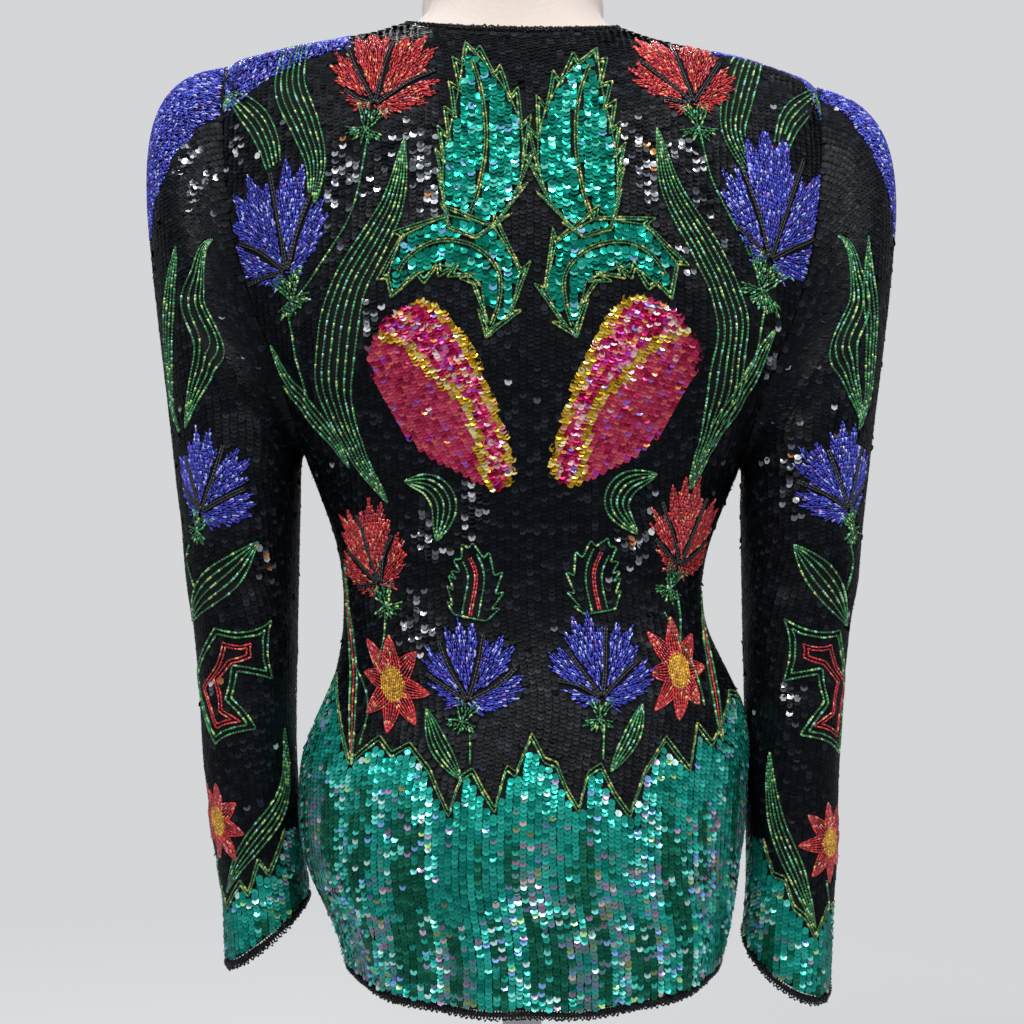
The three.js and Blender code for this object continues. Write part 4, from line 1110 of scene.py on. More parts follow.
def inset(polygon, distance):
    """A closed outline moved inwards, with its corners kept."""
    before, after = unit(polygon - np.roll(polygon, 1, 0)), unit(np.roll(polygon, -1, 0) - polygon)
    x, y = polygon.T
    turning = 1 if (x * np.roll(y, -1) - np.roll(x, -1) * y).sum() > 0 else -1
    inward = turning * np.stack([-(before + after)[:, 1], (before + after)[:, 0]], -1)
    length = np.linalg.norm(inward, axis=1, keepdims=True)
    reach = np.clip(2 / np.maximum(length, 0.3), 1, 2.6) * distance
    return polygon + unit(inward) * reach


def sagging(tips, sags):
    """A closed outline through a list of tips, each side of it bowed inwards by its sag."""
    tips = np.asarray(tips, float)
    middle = tips.mean(0)
    parts = []
    for tip, after, sag in zip(tips, np.roll(tips, -1, 0), sags):
        t = np.linspace(0, 1, 12, endpoint=False)[:, None]
        along = (after - tip) / np.linalg.norm(after - tip)
        inward = np.array([-along[1], along[0]])
        inward *= 1 if inward @ (middle - tip) > 0 else -1
        parts.append(tip + (after - tip) * t + inward * sag * 4 * t * (1 - t))
    return np.concatenate(parts)


def closed(outline):
    return np.concatenate([outline, outline[:1]])


def inside(polygon, points):
    """Whether each point lies in a polygon."""
    x, y = points[:, 0], points[:, 1]
    found = np.zeros(len(points), bool)
    for (ax, ay), (bx, by) in zip(polygon, np.roll(polygon, -1, 0)):
        if ay != by:
            crosses = (ay > y) != (by > y)
            found ^= crosses & (x < (bx - ax) * (y - ay) / (by - ay) + ax)
    return found


# Carnations: a fan of beads, in radians from its direction and shares of its length
FAN_SPREAD = 2.15
FAN_LONGEST = 80
FAN_GAPS = (0.08, 0.04)  # between beads outwards and across
VEINS = (-1.28, -0.62, 0.06, 0.7)
VEIN_CLEARANCE, VEIN_GAP, VEIN_BEND, VEIN_REACH = 1.8, 0.7, 2.8, 1.12
CARNATION_SHARE = 0.94  # of the way from base to tip
PETAL_ROUND = 0.92
NOTCH_DEPTH, NOTCH_WIDTH = 0.2, 0.13
TOOTH_WIDTH, TOOTH_ROOT, TOOTH_HEIGHT = 0.19, 0.9, 0.24
CALYX_WAIST, CALYX_SPREAD, BOW_SPREAD = 0.3, 0.55, 1.4
# Stars: shares of the flower's half width and half height
STAR_PETALS, STAR_THREADS = 8, 7
STAR_BREADTH, STAR_PETAL_FROM, STAR_MIDDLE = 0.22, 0.32, 0.36
STAR_BARE = (1.04, 0.62)  # the ground left bare round it, at the petals and between them
STAR_MIDDLE_STEP = 1.42
# A tulip's outline as shares of its length: along it, out to its gold edge and to the other side
TULIP_SHAPE = (
    (0, 0.05, 0.1, 0.2, 0.32, 0.5, 0.7, 0.88, 0.96, 1),
    (0.1, 0.15, 0.175, 0.2, 0.205, 0.2, 0.17, 0.135, 0.11, 0.07),
    (0.06, 0.17, 0.24, 0.29, 0.31, 0.31, 0.245, 0.12, 0.06, 0.04),
)
TULIP_STRIPE = ((0.04, 0.15, 0.38, 0.55, 0.7, 0.92), (-0.17, -0.07, -0.012, 0.05, 0.03, -0.04))
TULIP_ROW, TULIP_PITCH = 3.3, 2.1
TULIP_GOLD_EDGE, TULIP_HALF_STRIPE = 5.5, 3
TULIP_SEQUIN = 0.95
# Leaves, arabesques, the border's edge and the shoulders' mosaic, in millimetres
BLADE_GAPS = {"threads": 1.75, "body": 0.4, "sequins": 0.6}
RIB_HALF_GAP = 0.8
OUTLINED_SPLAY = 1.15
OUTLINED_RIB = ((-5, "green"), (-0.7, "red"), (0.7, "red"), (5, "green"))
ARABESQUE_GAPS = (3.4, 2.2)
FLAME_GAP = 3.2
MOSAIC_PITCH, MOSAIC_STRETCH = 1.75, 1.35
PAINTED_SIZE, PAINTED_CLEARANCE = 1.14, 1.5
LEAF_TILT, TULIP_TILT, TULIP_DULL_TILT = 0.16, 0.18, 0.06
# Sequins: shares of them, and how unevenly they tilt
BLACK_TILT, LOOSE_TILT = 0.035, 0.3
LOOSE_SHARE = (0.012, 0.05)  # of the black sequins that lie askew, most and in the livelier patches
RAISED = 1  # added to the tilt of a sequin that stands up from its row, so that it catches a lamp
RAISED_SLOPE = 0.53  # how far such a sequin's face turns up
RAISED_SHARE = 0.3  # of the sequins in tulips and leaves
RAISED_TILTS = {"painted": 0.1, "glint": 0.09, "stray": 0.08}
GLINT_SHAPE = (1.3, 0.75)  # spots of glints are higher than wide
# Shares of black sequins raised to catch a lamp, and of those painted pale grey as painted glints
GLINT_RAISED, GLINT_PAINTED_HIGHLIGHT = 0.5, 0.4  # in a spot's middle
STRAY_RAISED, STRAY_PAINTED_HIGHLIGHT = 0.006, 0.002


class Layout:
    """What is sewn on one panel, in its cloth coordinates."""

    def __init__(self, panel):
        self.panel = panel
        self.beads = []  # middles, half lengths along the thread, kind
        self.bare = []  # outlines that black and teal sequins keep out of
        self.painted = []  # polygon and sequin colours
        self.sequins = []  # middles, colours, tilts, sizes
        self.flame = None  # the teal border's upper edge
        self.flowers = []  # outlines that threads of other motifs don't cross

    def add_beads(self, middles, halves, kind):
        self.beads.append((np.atleast_2d(middles), np.atleast_2d(halves), kind))

    def string(self, line, kind):
        """Beads along a line."""
        length = BEAD_SIZES[kind][0]
        points = spaced(line, length + BEAD_STEP)
        halves = np.diff(points, axis=0) / 2
        size = np.linalg.norm(halves, axis=1, keepdims=True)
        if len(points) > 1 and size[0, 0] > 0.3:
            full = halves * np.minimum(1, length / 2 / size)
            middles = (points[1:] + points[:-1]) / 2
            clear = np.ones(len(middles), bool)
            if kind != "black":
                for flower in self.flowers:
                    clear &= ~inside(flower, middles)
            if clear.any():
                self.add_beads(middles[clear], full[clear], kind)

    def ribbon(self, spine, half_width, count, opening):
        """A long leaf of green threads side by side that meet at its tips. Of three, one is red."""
        line = smooth_line(spine)
        s = np.linspace(*opening, len(line))
        width = half_width * np.sin(np.pi * np.clip(s, 0, 1)) ** 0.8
        side = sideways(line)
        for k in np.linspace(-1, 1, count):
            kind = "red" if count == 3 and k == 0 else "green"
            self.string(line + side * (k * width)[:, None], kind)
        edge = (width + 1)[:, None]
        self.bare.append(np.concatenate([line + side * edge, (line - side * edge)[::-1]]))

    def fan(self, middle, forward, spread, reach, kind, veins=(), start=1.4):
        """Radial beads, ring after ring, between the angles -spread and spread."""
        length, width = BEAD_SIZES[kind]
        for radius in np.arange(start, FAN_LONGEST, length + FAN_GAPS[0]):
            count = max(3, int(2 * spread * radius / (width + FAN_GAPS[1])))
            angles = np.linspace(-spread, spread, count)
            angles += rng.uniform(-0.3, 0.3, count) * width / radius
            keep = reach(angles) > radius + length * 0.2
            if not keep.any() and radius > 6:
                break
            for vein in veins:
                keep &= np.abs(angles - vein) * radius > VEIN_CLEARANCE
            angles = angles[keep]
            out = np.array([heading(angle, forward) for angle in angles]).reshape(-1, 2)
            turned = np.array([heading(a, forward) for a in angles + rng.normal(0, 0.13, len(angles))])
            middles = middle + out * (radius + rng.uniform(-0.5, 0.5, (len(angles), 1)))
            self.add_beads(middles, turned.reshape(-1, 2) * length / 2, kind)

    def carnation(self, base, tip, kind, full):
        """A fan of petals with a jagged edge and dark veins between them, on a green calyx."""
        size = CARNATION_SHARE * np.linalg.norm(tip - base)
        forward = unit(tip - base)
        veins = np.array(VEINS) + rng.uniform(-0.07, 0.07, len(VEINS))
        phase = rng.uniform(0, 1)

        def reach(angles):
            petals = full + (1 - full) * np.cos(PETAL_ROUND * angles) ** 2
            petals *= 1 - 0.55 * smoothstep(1.1, 2.0, np.abs(angles))
            notched = 1 - NOTCH_DEPTH * bell((angles[:, None] - veins) / NOTCH_WIDTH).sum(1)
            teeth = 2 * np.abs((angles / TOOTH_WIDTH + phase) % 1 - 0.5)
            return size * petals * notched * (TOOTH_ROOT + TOOTH_HEIGHT * teeth)

        self.fan(base, forward, FAN_SPREAD, reach, kind, veins)
        for vein in veins:
            way = heading(vein, forward)
            side = np.array([-way[1], way[0]]) * VEIN_GAP
            far = VEIN_REACH * reach(np.array([vein]))[0]
            bend = side * rng.uniform(-1, 1) * VEIN_BEND
            for hand in (-1, 1):
                points = [base + way * 1.5, base + way * far * 0.55 + bend, base + way * far]
                self.string(smooth_line(np.array(points) + hand * side), "black")
        angles = np.linspace(-FAN_SPREAD, FAN_SPREAD, 70)
        rim = [base + heading(a, forward) * (r + 1) for a, r in zip(angles, reach(angles))]
        self.bare.append(np.array([base - forward * 2, *rim]))
        self.flowers.append(self.bare[-1])
        self.calyx(base, forward, size)

    def calyx(self, base, forward, size):
        """A tuft under a flower's base and a bow round its foot."""
        waist = base - forward * CALYX_WAIST * size

        def tuft(a):
            return size * (0.25 + 0.1 * np.abs(a) / 0.5 - 0.03 * np.cos(a * 14))

        def bow(a):
            return size * (0.15 + 0.07 * (np.abs(a) / 1.4) ** 2) * (1 + 0.15 * np.cos(a * 12))

        self.fan(waist, forward, CALYX_SPREAD, tuft, "green", start=0.8)
        self.fan(waist + forward * 0.03 * size, -forward, BOW_SPREAD, bow, "green", start=1.0)
        ring = [waist + heading(a, forward) * 0.19 * size for a in np.linspace(0, 2 * np.pi, 9)]
        self.bare.append(np.array(ring))

    def star(self, middle, height, width, turn):
        """A flower of pointed red petals round a yellow middle."""
        shape = np.array([width, height]) / 2
        s = np.linspace(0, 1, 12)[:, None]
        for k in range(STAR_PETALS):
            angle = turn + 2 * np.pi * k / STAR_PETALS + rng.uniform(-0.05, 0.05)
            out = np.array([math.sin(angle), math.cos(angle)]) * shape
            side = np.array([-math.cos(angle), math.sin(angle)]) * shape.mean()
            long = rng.uniform(0.92, 1.06)
            away = STAR_PETAL_FROM + (long - STAR_PETAL_FROM) * s
            broad = STAR_BREADTH * (1 - s) ** 0.9 * (1 + 0.7 * s)
            for share in np.linspace(-1, 1, STAR_THREADS):
                self.string(middle + out * away + side * share * broad, "red")
        ring = np.array([
            middle + np.array([math.sin(a), math.cos(a)]) * shape * STAR_BARE[n % 2]
            for n, a in enumerate(turn + np.pi * np.arange(2 * STAR_PETALS) / STAR_PETALS)
        ])
        self.bare.append(ring)
        radius = STAR_MIDDLE * shape
        for x in np.arange(-radius[0] + 0.7, radius[0], STAR_MIDDLE_STEP):
            high = radius[1] * math.sqrt(max(0, 1 - (x / radius[0]) ** 2))
            if high > 1.2:
                self.string([middle + (x, -high), middle + (x, high)], "yellow")

    def leaf_outline(self, spine, widths, teeth, length, splay):
        """A leaf's toothed outline and its plain body. The teeth point to the start of the spine."""
        line = smooth_line(spine, 0.6)
        side = sideways(line)
        along = np.stack([side[:, 1], -side[:, 0]], -1)
        s = np.linspace(0, 1, len(line))
        width = np.interp(s, np.linspace(0, 1, len(widths)), widths)
        toothed, plain = [], []
        for hand, shift in ((1, 0.0), (-1, 0.4)):
            outer, inner = [line[0]], [line[0]]
            for k in range(teeth):
                n = min(len(line) - 1, int((k + 0.55 + shift) / (teeth + 0.5) * (len(line) - 1)))
                out = hand * side[n]
                root = line[n] + out * width[n]
                long = length * (0.75 + 0.25 * math.sin(math.pi * s[n])) * rng.uniform(0.85, 1.1)
                tip = root + out * long * math.sin(splay) - along[n] * long * math.cos(splay)
                outer += [root, tip]
                inner.append(root)
            end = line[-1] + hand * side[-1] * width[-1]
            toothed.append(np.array([*outer, end]))
            plain.append(np.array([*inner, end]))
        edge, body = [np.concatenate([one, other[:0:-1]]) for one, other in (toothed, plain)]
        return line, edge, body

    def blade(self, spine, widths, teeth, length, splay):
        """A leaf of shining sequins in a toothed edge of doubled threads, with a doubled rib."""
        line, edge, body = self.leaf_outline(spine, widths, teeth, length, splay)
        self.string(closed(edge), "moss")
        self.string(closed(inset(edge, BLADE_GAPS["threads"])), "green")
        self.string(closed(inset(body, BLADE_GAPS["body"])), "moss")
        rib = line[int(0.12 * len(line)) : int(0.94 * len(line))]
        for shift in (-RIB_HALF_GAP, RIB_HALF_GAP):
            self.string(rib + sideways(rib) * shift, "moss")
        self.bare.append(edge)
        self.painted.append((inset(body, BLADE_GAPS["sequins"]), "leaf"))

    def outlined(self, spine, widths, teeth, length):
        """A leaf drawn as a toothed green line round a red rib."""
        line, edge, _ = self.leaf_outline(spine, widths, teeth, length, OUTLINED_SPLAY)
        self.string(closed(edge), "green")
        rib = line[int(0.2 * len(line)) : int(0.98 * len(line))]
        for shift, kind in OUTLINED_RIB:
            self.string(rib + sideways(rib) * shift, kind)

    def arabesque(self, outer, inner):
        """A many-pointed leaf: a doubled green line round a doubled red one."""
        for tips, gap, kind in ((outer, ARABESQUE_GAPS[0], "green"), (inner, ARABESQUE_GAPS[1], "red")):
            outline = sagging(*tips)
            self.string(closed(outline), kind)
            self.string(closed(inset(outline[::4], gap)), kind)

    def mosaic(self, polygon):
        """Short blue beads laid every way, side by side."""
        low, high = polygon.min(0), polygon.max(0)
        u, v = np.meshgrid(
            np.arange(low[0], high[0], MOSAIC_PITCH),
            np.arange(low[1], high[1], MOSAIC_PITCH * MOSAIC_STRETCH),
        )
        middles = np.stack([u.ravel(), v.ravel()], -1)
        middles += rng.uniform(-0.45, 0.45, middles.shape) * MOSAIC_PITCH
        middles = middles[inside(polygon, middles)]
        turn = rng.normal(0.9, 0.6, len(middles))
        length = BEAD_SIZES["blue"][0] * 0.46
        self.add_beads(middles, np.stack([np.cos(turn), np.sin(turn)], -1) * length, "blue")
        self.bare.append(polygon)

    def tulip(self, top, bottom, hand):
        """A bud of overlapping pink sequins with a gold edge and a gold stripe."""
        forward = bottom - top
        size = np.linalg.norm(forward)
        forward = forward / size
        side = hand * np.array([-forward[1], forward[0]])
        t = np.linspace(0, 1, 40)
        near = size * np.interp(t, TULIP_SHAPE[0], TULIP_SHAPE[1])
        far = size * np.interp(t, TULIP_SHAPE[0], TULIP_SHAPE[2])
        line = top + t[:, None] * size * forward
        edge = np.concatenate([line + near[:, None] * side, (line - far[:, None] * side)[::-1]])
        self.bare.append(edge)
        offsets = np.arange(-far.max(), near.max() + 1, TULIP_ROW)
        o, a = np.meshgrid(offsets, np.arange(0.5, size, TULIP_PITCH), indexing="ij")
        a = a + (np.arange(len(offsets)) % 2)[:, None] * TULIP_PITCH / 2
        o, a = o.ravel(), a.ravel()
        gold_edge = np.interp(a / size, t, near)
        keep = (o < gold_edge) & (o > -np.interp(a / size, t, far))
        o, a, gold_edge = o[keep], a[keep], gold_edge[keep]
        stripe = size * np.interp(a / size, TULIP_STRIPE[0], TULIP_STRIPE[1])
        gold = (o > gold_edge - TULIP_GOLD_EDGE) | (np.abs(o - stripe) < TULIP_HALF_STRIPE)
        middles = top + a[:, None] * forward + o[:, None] * side
        middles += rng.uniform(-0.25, 0.25, middles.shape)
        dull = (o < stripe - TULIP_HALF_STRIPE) & (rng.random(len(o)) > 0.08)
        names = ("rose", "pink", "gold")
        rose, pink, gilt = [drawn_colours(SEQUIN_COLOURS_AND_HIGHLIGHTS[name], len(o)) for name in names]
        colours = np.where(gold[:, None], gilt, np.where(dull[:, None], rose, pink))
        lively = rng.random(len(o)) < RAISED_SHARE
        tilt = np.where(lively, RAISED + RAISED_TILTS["painted"], TULIP_TILT)
        tilt = np.where(dull & ~gold, TULIP_DULL_TILT, tilt)
        self.sequins.append((middles, colours, tilt, np.full(len(o), TULIP_SEQUIN)))

    def edge_flame(self, peaks):
        """The jagged top of the teal border, from its turning points across the panel."""
        peaks = np.asarray(peaks, float)
        self.flame = peaks[np.argsort(peaks[:, 0])]
        self.string(self.flame, "moss")
        self.string(self.flame - (0, FLAME_GAP), "green")


def smooth_noise(u, v, wide, high, seed):
    """Soft random values from 0 to 1, with patches of one width and height."""
    lattice = np.random.default_rng(seed).random((64, 64))
    x, y = u / wide + 1000.0, v / high + 1000.0
    i, j = np.floor(x).astype(int), np.floor(y).astype(int)
    fx, fy = smoothstep(0, 1, x - i), smoothstep(0, 1, y - j)
    a, b = lattice[j % 64, i % 64], lattice[j % 64, (i + 1) % 64]
    c, d = lattice[(j + 1) % 64, i % 64], lattice[(j + 1) % 64, (i + 1) % 64]
    return (1 - fy) * ((1 - fx) * a + fx * b) + fy * ((1 - fx) * c + fx * d)


# The teal border: how far under its edge the frost and the streaks begin and are whole, how many
# sequins turn dark, pale as painted sparkles, and frosted, and how wide and high its patches are
FROST_RANGE, STREAK_RANGE = (25, 100), (32, 62)
DARK_SHARE, PAINTED_SPARKLE_SHARES, FROST_SHARES = 0.93, (0.025, 0.4), (0.03, 0.85)
STREAK_PATCH, STREAK_TOP_PATCH, FROST_PATCH = (9, 66), (9, 500), (24, 80)
LIVELY_PATCH, SHADE_PATCH = (15, 36), (7, 44)
DARK_TILT, LEAST_TILT, LIVELY_TILT = 0.05, 0.06, 0.16


def border_colours(u, v, depth, seed):
    """The teal border's sequins: turquoise above, then frosted, with dark upright streaks and painted
    sparkles.
    """
    count = len(u)
    colours = drawn_colours(SEQUIN_COLOURS_AND_HIGHLIGHTS["teal"], count)
    column = np.round(u / SEQUIN_ROW) * SEQUIN_ROW
    streak = smooth_noise(column, v, *STREAK_PATCH, seed)
    frosted = smoothstep(0.3, 0.58, smooth_noise(column, v, *FROST_PATCH, seed + 1))
    frost = smoothstep(*FROST_RANGE, depth) * frosted
    uneven = 24 * smooth_noise(column, v, *STREAK_TOP_PATCH, seed + 4)
    started = smoothstep(*STREAK_RANGE, depth + uneven)
    dark = rng.random(count) < DARK_SHARE * smoothstep(0.6, 0.76, streak) * started
    lively = smoothstep(0.42, 0.68, smooth_noise(u, v, *LIVELY_PATCH, seed + 3))
    least, more = PAINTED_SPARKLE_SHARES
    # painted sparkles: pale colours on raised sequins, more of them in the livelier patches
    painted_sparkle = rng.random(count) < (least + more * lively) * np.where(dark, 0.25, 1)
    least, more = FROST_SHARES
    use_frost = rng.random(count) < least + frost * more
    for chosen, name in ((use_frost, "frost"), (dark, "bottle"), (painted_sparkle, "painted_sparkle")):
        colours = np.where(chosen[:, None], drawn_colours(SEQUIN_COLOURS_AND_HIGHLIGHTS[name], count), colours)
    colours *= (0.9 + 0.5 * smooth_noise(column, v, *SHADE_PATCH, seed + 2))[:, None]
    steady = np.where(dark, DARK_TILT, LEAST_TILT + LIVELY_TILT * lively)
    steady[painted_sparkle & ~dark] = RAISED + RAISED_TILTS["painted"]
    return colours, steady


def lay_sequins(layout, seed, glints):
    """Upright rows of overlapping sequins wherever no motif of beads lies."""
    panel = layout.panel
    first_row = math.floor(panel.u.min() / SEQUIN_ROW)
    u_values = np.arange(first_row, panel.u.max() / SEQUIN_ROW) * SEQUIN_ROW
    v_values = np.arange(panel.v.min(), panel.v.max(), SEQUIN_PITCH)
    u, v = np.meshgrid(u_values, v_values, indexing="ij")
    v = v + (np.arange(len(u_values)) % 2)[:, None] * SEQUIN_PITCH / 2
    uv = np.stack([u.ravel(), v.ravel()], -1)
    uv += rng.uniform(-0.3, 0.3, uv.shape)
    count = len(uv)
    colours = drawn_colours(SEQUIN_COLOURS_AND_HIGHLIGHTS["black"], count)
    patchy = smooth_noise(uv[:, 0], uv[:, 1], 26, 46, seed + 9)
    loose = rng.random(count) < np.where(patchy > 0.66, LOOSE_SHARE[1], LOOSE_SHARE[0])
    steady = np.where(loose, LOOSE_TILT, BLACK_TILT)
    bright = np.zeros(count, bool)
    for middle, radius in glints:
        near = bell(np.linalg.norm((uv - middle) * GLINT_SHAPE, axis=1) / radius)
        steady = np.maximum(steady, LOOSE_TILT * near)
        steady[rng.random(count) < GLINT_RAISED * near] = RAISED + RAISED_TILTS["glint"]
        bright |= rng.random(count) < GLINT_PAINTED_HIGHLIGHT * near
    steady[rng.random(count) < STRAY_RAISED] = RAISED + RAISED_TILTS["stray"]
    bright |= rng.random(count) < STRAY_PAINTED_HIGHLIGHT
    # Sequins picked here are painted pale grey and white: painted glints, not a colour of the sequins
    colours[bright] = drawn_colours(SEQUIN_COLOURS_AND_HIGHLIGHTS["painted_glint_grey"], bright.sum())
    if layout.flame is not None:
        depth = np.interp(uv[:, 0], layout.flame[:, 0], layout.flame[:, 1]) - uv[:, 1]
        low = depth > 0
        colours[low], steady[low] = border_colours(uv[low, 0], uv[low, 1], depth[low], seed)
    keep = np.ones(count, bool)
    sizes = np.ones(count)
    for polygon in layout.bare:
        keep &= ~inside(polygon, uv)
    for polygon, name in layout.painted:
        within = inside(polygon, uv)
        keep |= within
        colours[within] = drawn_colours(SEQUIN_COLOURS_AND_HIGHLIGHTS[name], within.sum())
        lively = rng.random(within.sum()) < RAISED_SHARE
        steady[within] = np.where(lively, RAISED + RAISED_TILTS["painted"], LEAF_TILT)
        sizes[within] = PAINTED_SIZE
    uv, colours, steady, sizes = uv[keep], colours[keep], steady[keep], sizes[keep]
    tree = flat_tree(np.concatenate([middles for middles, _, _ in layout.beads]))
    distance = np.array([tree.find((a, b, 0))[2] for a, b in uv])
    clear = distance > np.where(sizes > 1, PAINTED_CLEARANCE, BEAD_CLEARANCE)
    parts = [(uv[clear], colours[clear], steady[clear], sizes[clear]), *layout.sequins]
    return [np.concatenate(column) for column in zip(*parts)]


def sequin_piece(layout, seed, glints):
    """All the sequins of a panel, each a shallow cup of seven points."""
    uv, colours, tilt, sizes = lay_sequins(layout, seed, glints)
    point, normal, upward, on_panel = layout.panel.place(uv)
    point, normal, upward = point[on_panel], normal[on_panel], upward[on_panel]
    colours, tilt, sizes = colours[on_panel], tilt[on_panel], sizes[on_panel]
    count = len(point)
    right = np.cross(upward, normal)
    raised = tilt >= RAISED
    tilt = np.where(raised, tilt - RAISED, tilt)
    lean = SEQUIN_LEAN + tilt * rng.normal(0, 1, count)
    roll = tilt * rng.normal(0, 1, count)
    facing = normal + upward * lean[:, None] + right * roll[:, None]
    level = unit(normal * (1, 1, 0))
    level[:, 2] = RAISED_SLOPE
    level += rng.normal(0, 1, (count, 3)) * tilt[:, None]
    facing = unit(np.where(raised[:, None] & (normal[:, 2:] < 0.6), level, facing))
    up = unit(upward - facing * (upward * facing).sum(1, keepdims=True))
    across = np.cross(up, facing)
    middle = point + normal * SEQUIN_LIFT
    turn = rng.uniform(0, np.pi / 3, count)
    points = np.empty((count, 7, 3))
    points[:, 0] = middle - facing * SEQUIN_CUP
    for k in range(6):
        c, s = np.cos(turn + k * np.pi / 3), np.sin(turn + k * np.pi / 3)
        rim = across * c[:, None] + up * s[:, None]
        points[:, k + 1] = middle + SEQUIN_RADIUS * sizes[:, None] * rim
    first = 7 * np.arange(count)[:, None]
    faces = np.concatenate([first + (0, k + 1, (k + 1) % 6 + 1) for k in range(6)])
    made = mesh_object(layout.panel.name + "_sequins", points.reshape(-1, 3), faces, sequin_plastic)
    paint(made, np.repeat(colours, 7, 0))
    hole = np.zeros((count, 7, 3))
    hole[:, 0] = 1
    paint(made, hole.reshape(-1, 3), "eye")
    return made


def bead_points(start, end, normal, width):
    """The six corners of each three-sided bead."""
    side = unit(np.cross(unit(end - start), normal))
    width = width[:, None]
    points = np.empty((len(start), 6, 3))
    for k, end_point in enumerate((start, end)):
        points[:, 3 * k] = end_point + normal * width * BEAD_HIGH
        points[:, 3 * k + 1] = end_point + side * width * BEAD_HALF_WIDE
        points[:, 3 * k + 2] = end_point - side * width * BEAD_HALF_WIDE
    return points


def bead_piece(layout):
    """All the bugle beads of a panel."""
    middles = np.concatenate([m for m, _, _ in layout.beads])
    halves = np.concatenate([h for _, h, _ in layout.beads])
    kinds = np.concatenate([np.full(len(m), kind) for m, _, kind in layout.beads])
    colours = np.zeros((len(kinds), 3))
    width = np.zeros(len(kinds))
    for kind, table in BEAD_COLOURS_AND_HIGHLIGHTS.items():
        chosen = kinds == kind
        colours[chosen] = drawn_colours(table, chosen.sum())
        width[chosen] = BEAD_SIZES[kind][1]
    start, normal, _, start_on_panel = layout.panel.place(middles - halves)
    end, _, _, end_on_panel = layout.panel.place(middles + halves)
    keep = start_on_panel & end_on_panel & (np.linalg.norm(end - start, axis=1) < LONGEST_BEAD)
    start, end, normal = start[keep], end[keep], normal[keep]
    lift = normal * BEAD_LIFT
    points = bead_points(start + lift, end + lift, normal, width[keep])
    first = 6 * np.arange(len(points))[:, None]
    quads = np.concatenate([first + corners for corners in ((0, 3, 4, 1), (2, 5, 3, 0), (1, 4, 5, 2))])
    ends = np.concatenate([first + corners for corners in ((0, 1, 2), (3, 5, 4))])
    made = mesh_object(layout.panel.name + "_beads", points.reshape(-1, 3), [quads, ends], glass)
    paint(made, np.repeat(colours[keep], 6, 0))
    return made


def sequin_material():
    """Thin plastic discs, each with its own colour, a hole and a bright curved face."""
    n = Nodes("sequins")
    tint = n.add("VertexColor", layer_name="tint").outputs["Color"]
    eye = n.add("VertexColor", layer_name="eye").outputs["Color"]
    hole = n.math("GREATER_THAN", eye, 0.83)
    place = n.add("TexCoord").outputs["Object"]
    grime = n.add("TexNoise", Scale=260.0, Detail=3.0)
    n.link(place, grime.inputs["Vector"])
    shadow = n.mix(0.75, tint, (0.002, 0.002, 0.003))
    n.link(n.mix(hole, tint, shadow), n.shader.inputs["Base Color"])
    split = n.add("SeparateColor")
    n.link(tint, split.inputs["Color"])
    strong = n.math("MAXIMUM", split.outputs["Green"], split.outputs["Red"])
    foil = n.math("MINIMUM", n.math("MULTIPLY", strong, 6.0), 0.62)
    metal = n.math("MULTIPLY", foil, n.math("SUBTRACT", 1.0, hole))
    n.link(metal, n.shader.inputs["Metallic"])
    satin = n.math("SUBTRACT", 0.32, n.math("MINIMUM", n.math("MULTIPLY", strong, 4.0), 0.2))
    rough = n.math("MULTIPLY_ADD", grime.outputs["Fac"], 0.16, satin)
    n.link(rough, n.shader.inputs["Roughness"])
    n.set(Specular_IOR_Level=0.11)
    return n.material


def glass_material(name, lining, specular, coat):
    """Lined glass bugle beads: coloured, glossy, and brighter where the lining shows."""
    n = Nodes(name)
    tint = n.add("VertexColor", layer_name="tint").outputs["Color"]
    place = n.add("TexCoord").outputs["Object"]
    cloud = n.add("TexNoise", Scale=1500.0, Detail=2.0)
    n.link(place, cloud.inputs["Vector"])
    lighter = n.mix(lining, tint, (0.9, 0.92, 0.95))
    n.link(n.mix(cloud.outputs["Fac"], tint, lighter), n.shader.inputs["Base Color"])
    rough = n.math("MULTIPLY_ADD", cloud.outputs["Fac"], 0.2, 0.1)
    n.link(rough, n.shader.inputs["Roughness"])
    n.set(Metallic=0.12, Specular_IOR_Level=specular, Coat_Weight=coat, Coat_Roughness=0.08)
    return n.material


# Leaves: half widths from the spine's start to its end, teeth a side, their length and splay
HOOK = ((0, 10, 14, 16, 17, 13, 9, 0), 6, 8, 1.1)
HORN = ((0, 9, 17, 23, 25, 21, 9), 7, 9, 0.75)
NOTCHED = ((0, 7, 12, 13, 10), 5, 6)
ARABESQUE_SAGS = ((7, 7, -1, 0, 3, 4, -2, 3), (3, 2, 1, 1, 2, 1, 2, 0, 1, 1))  # outside, inside

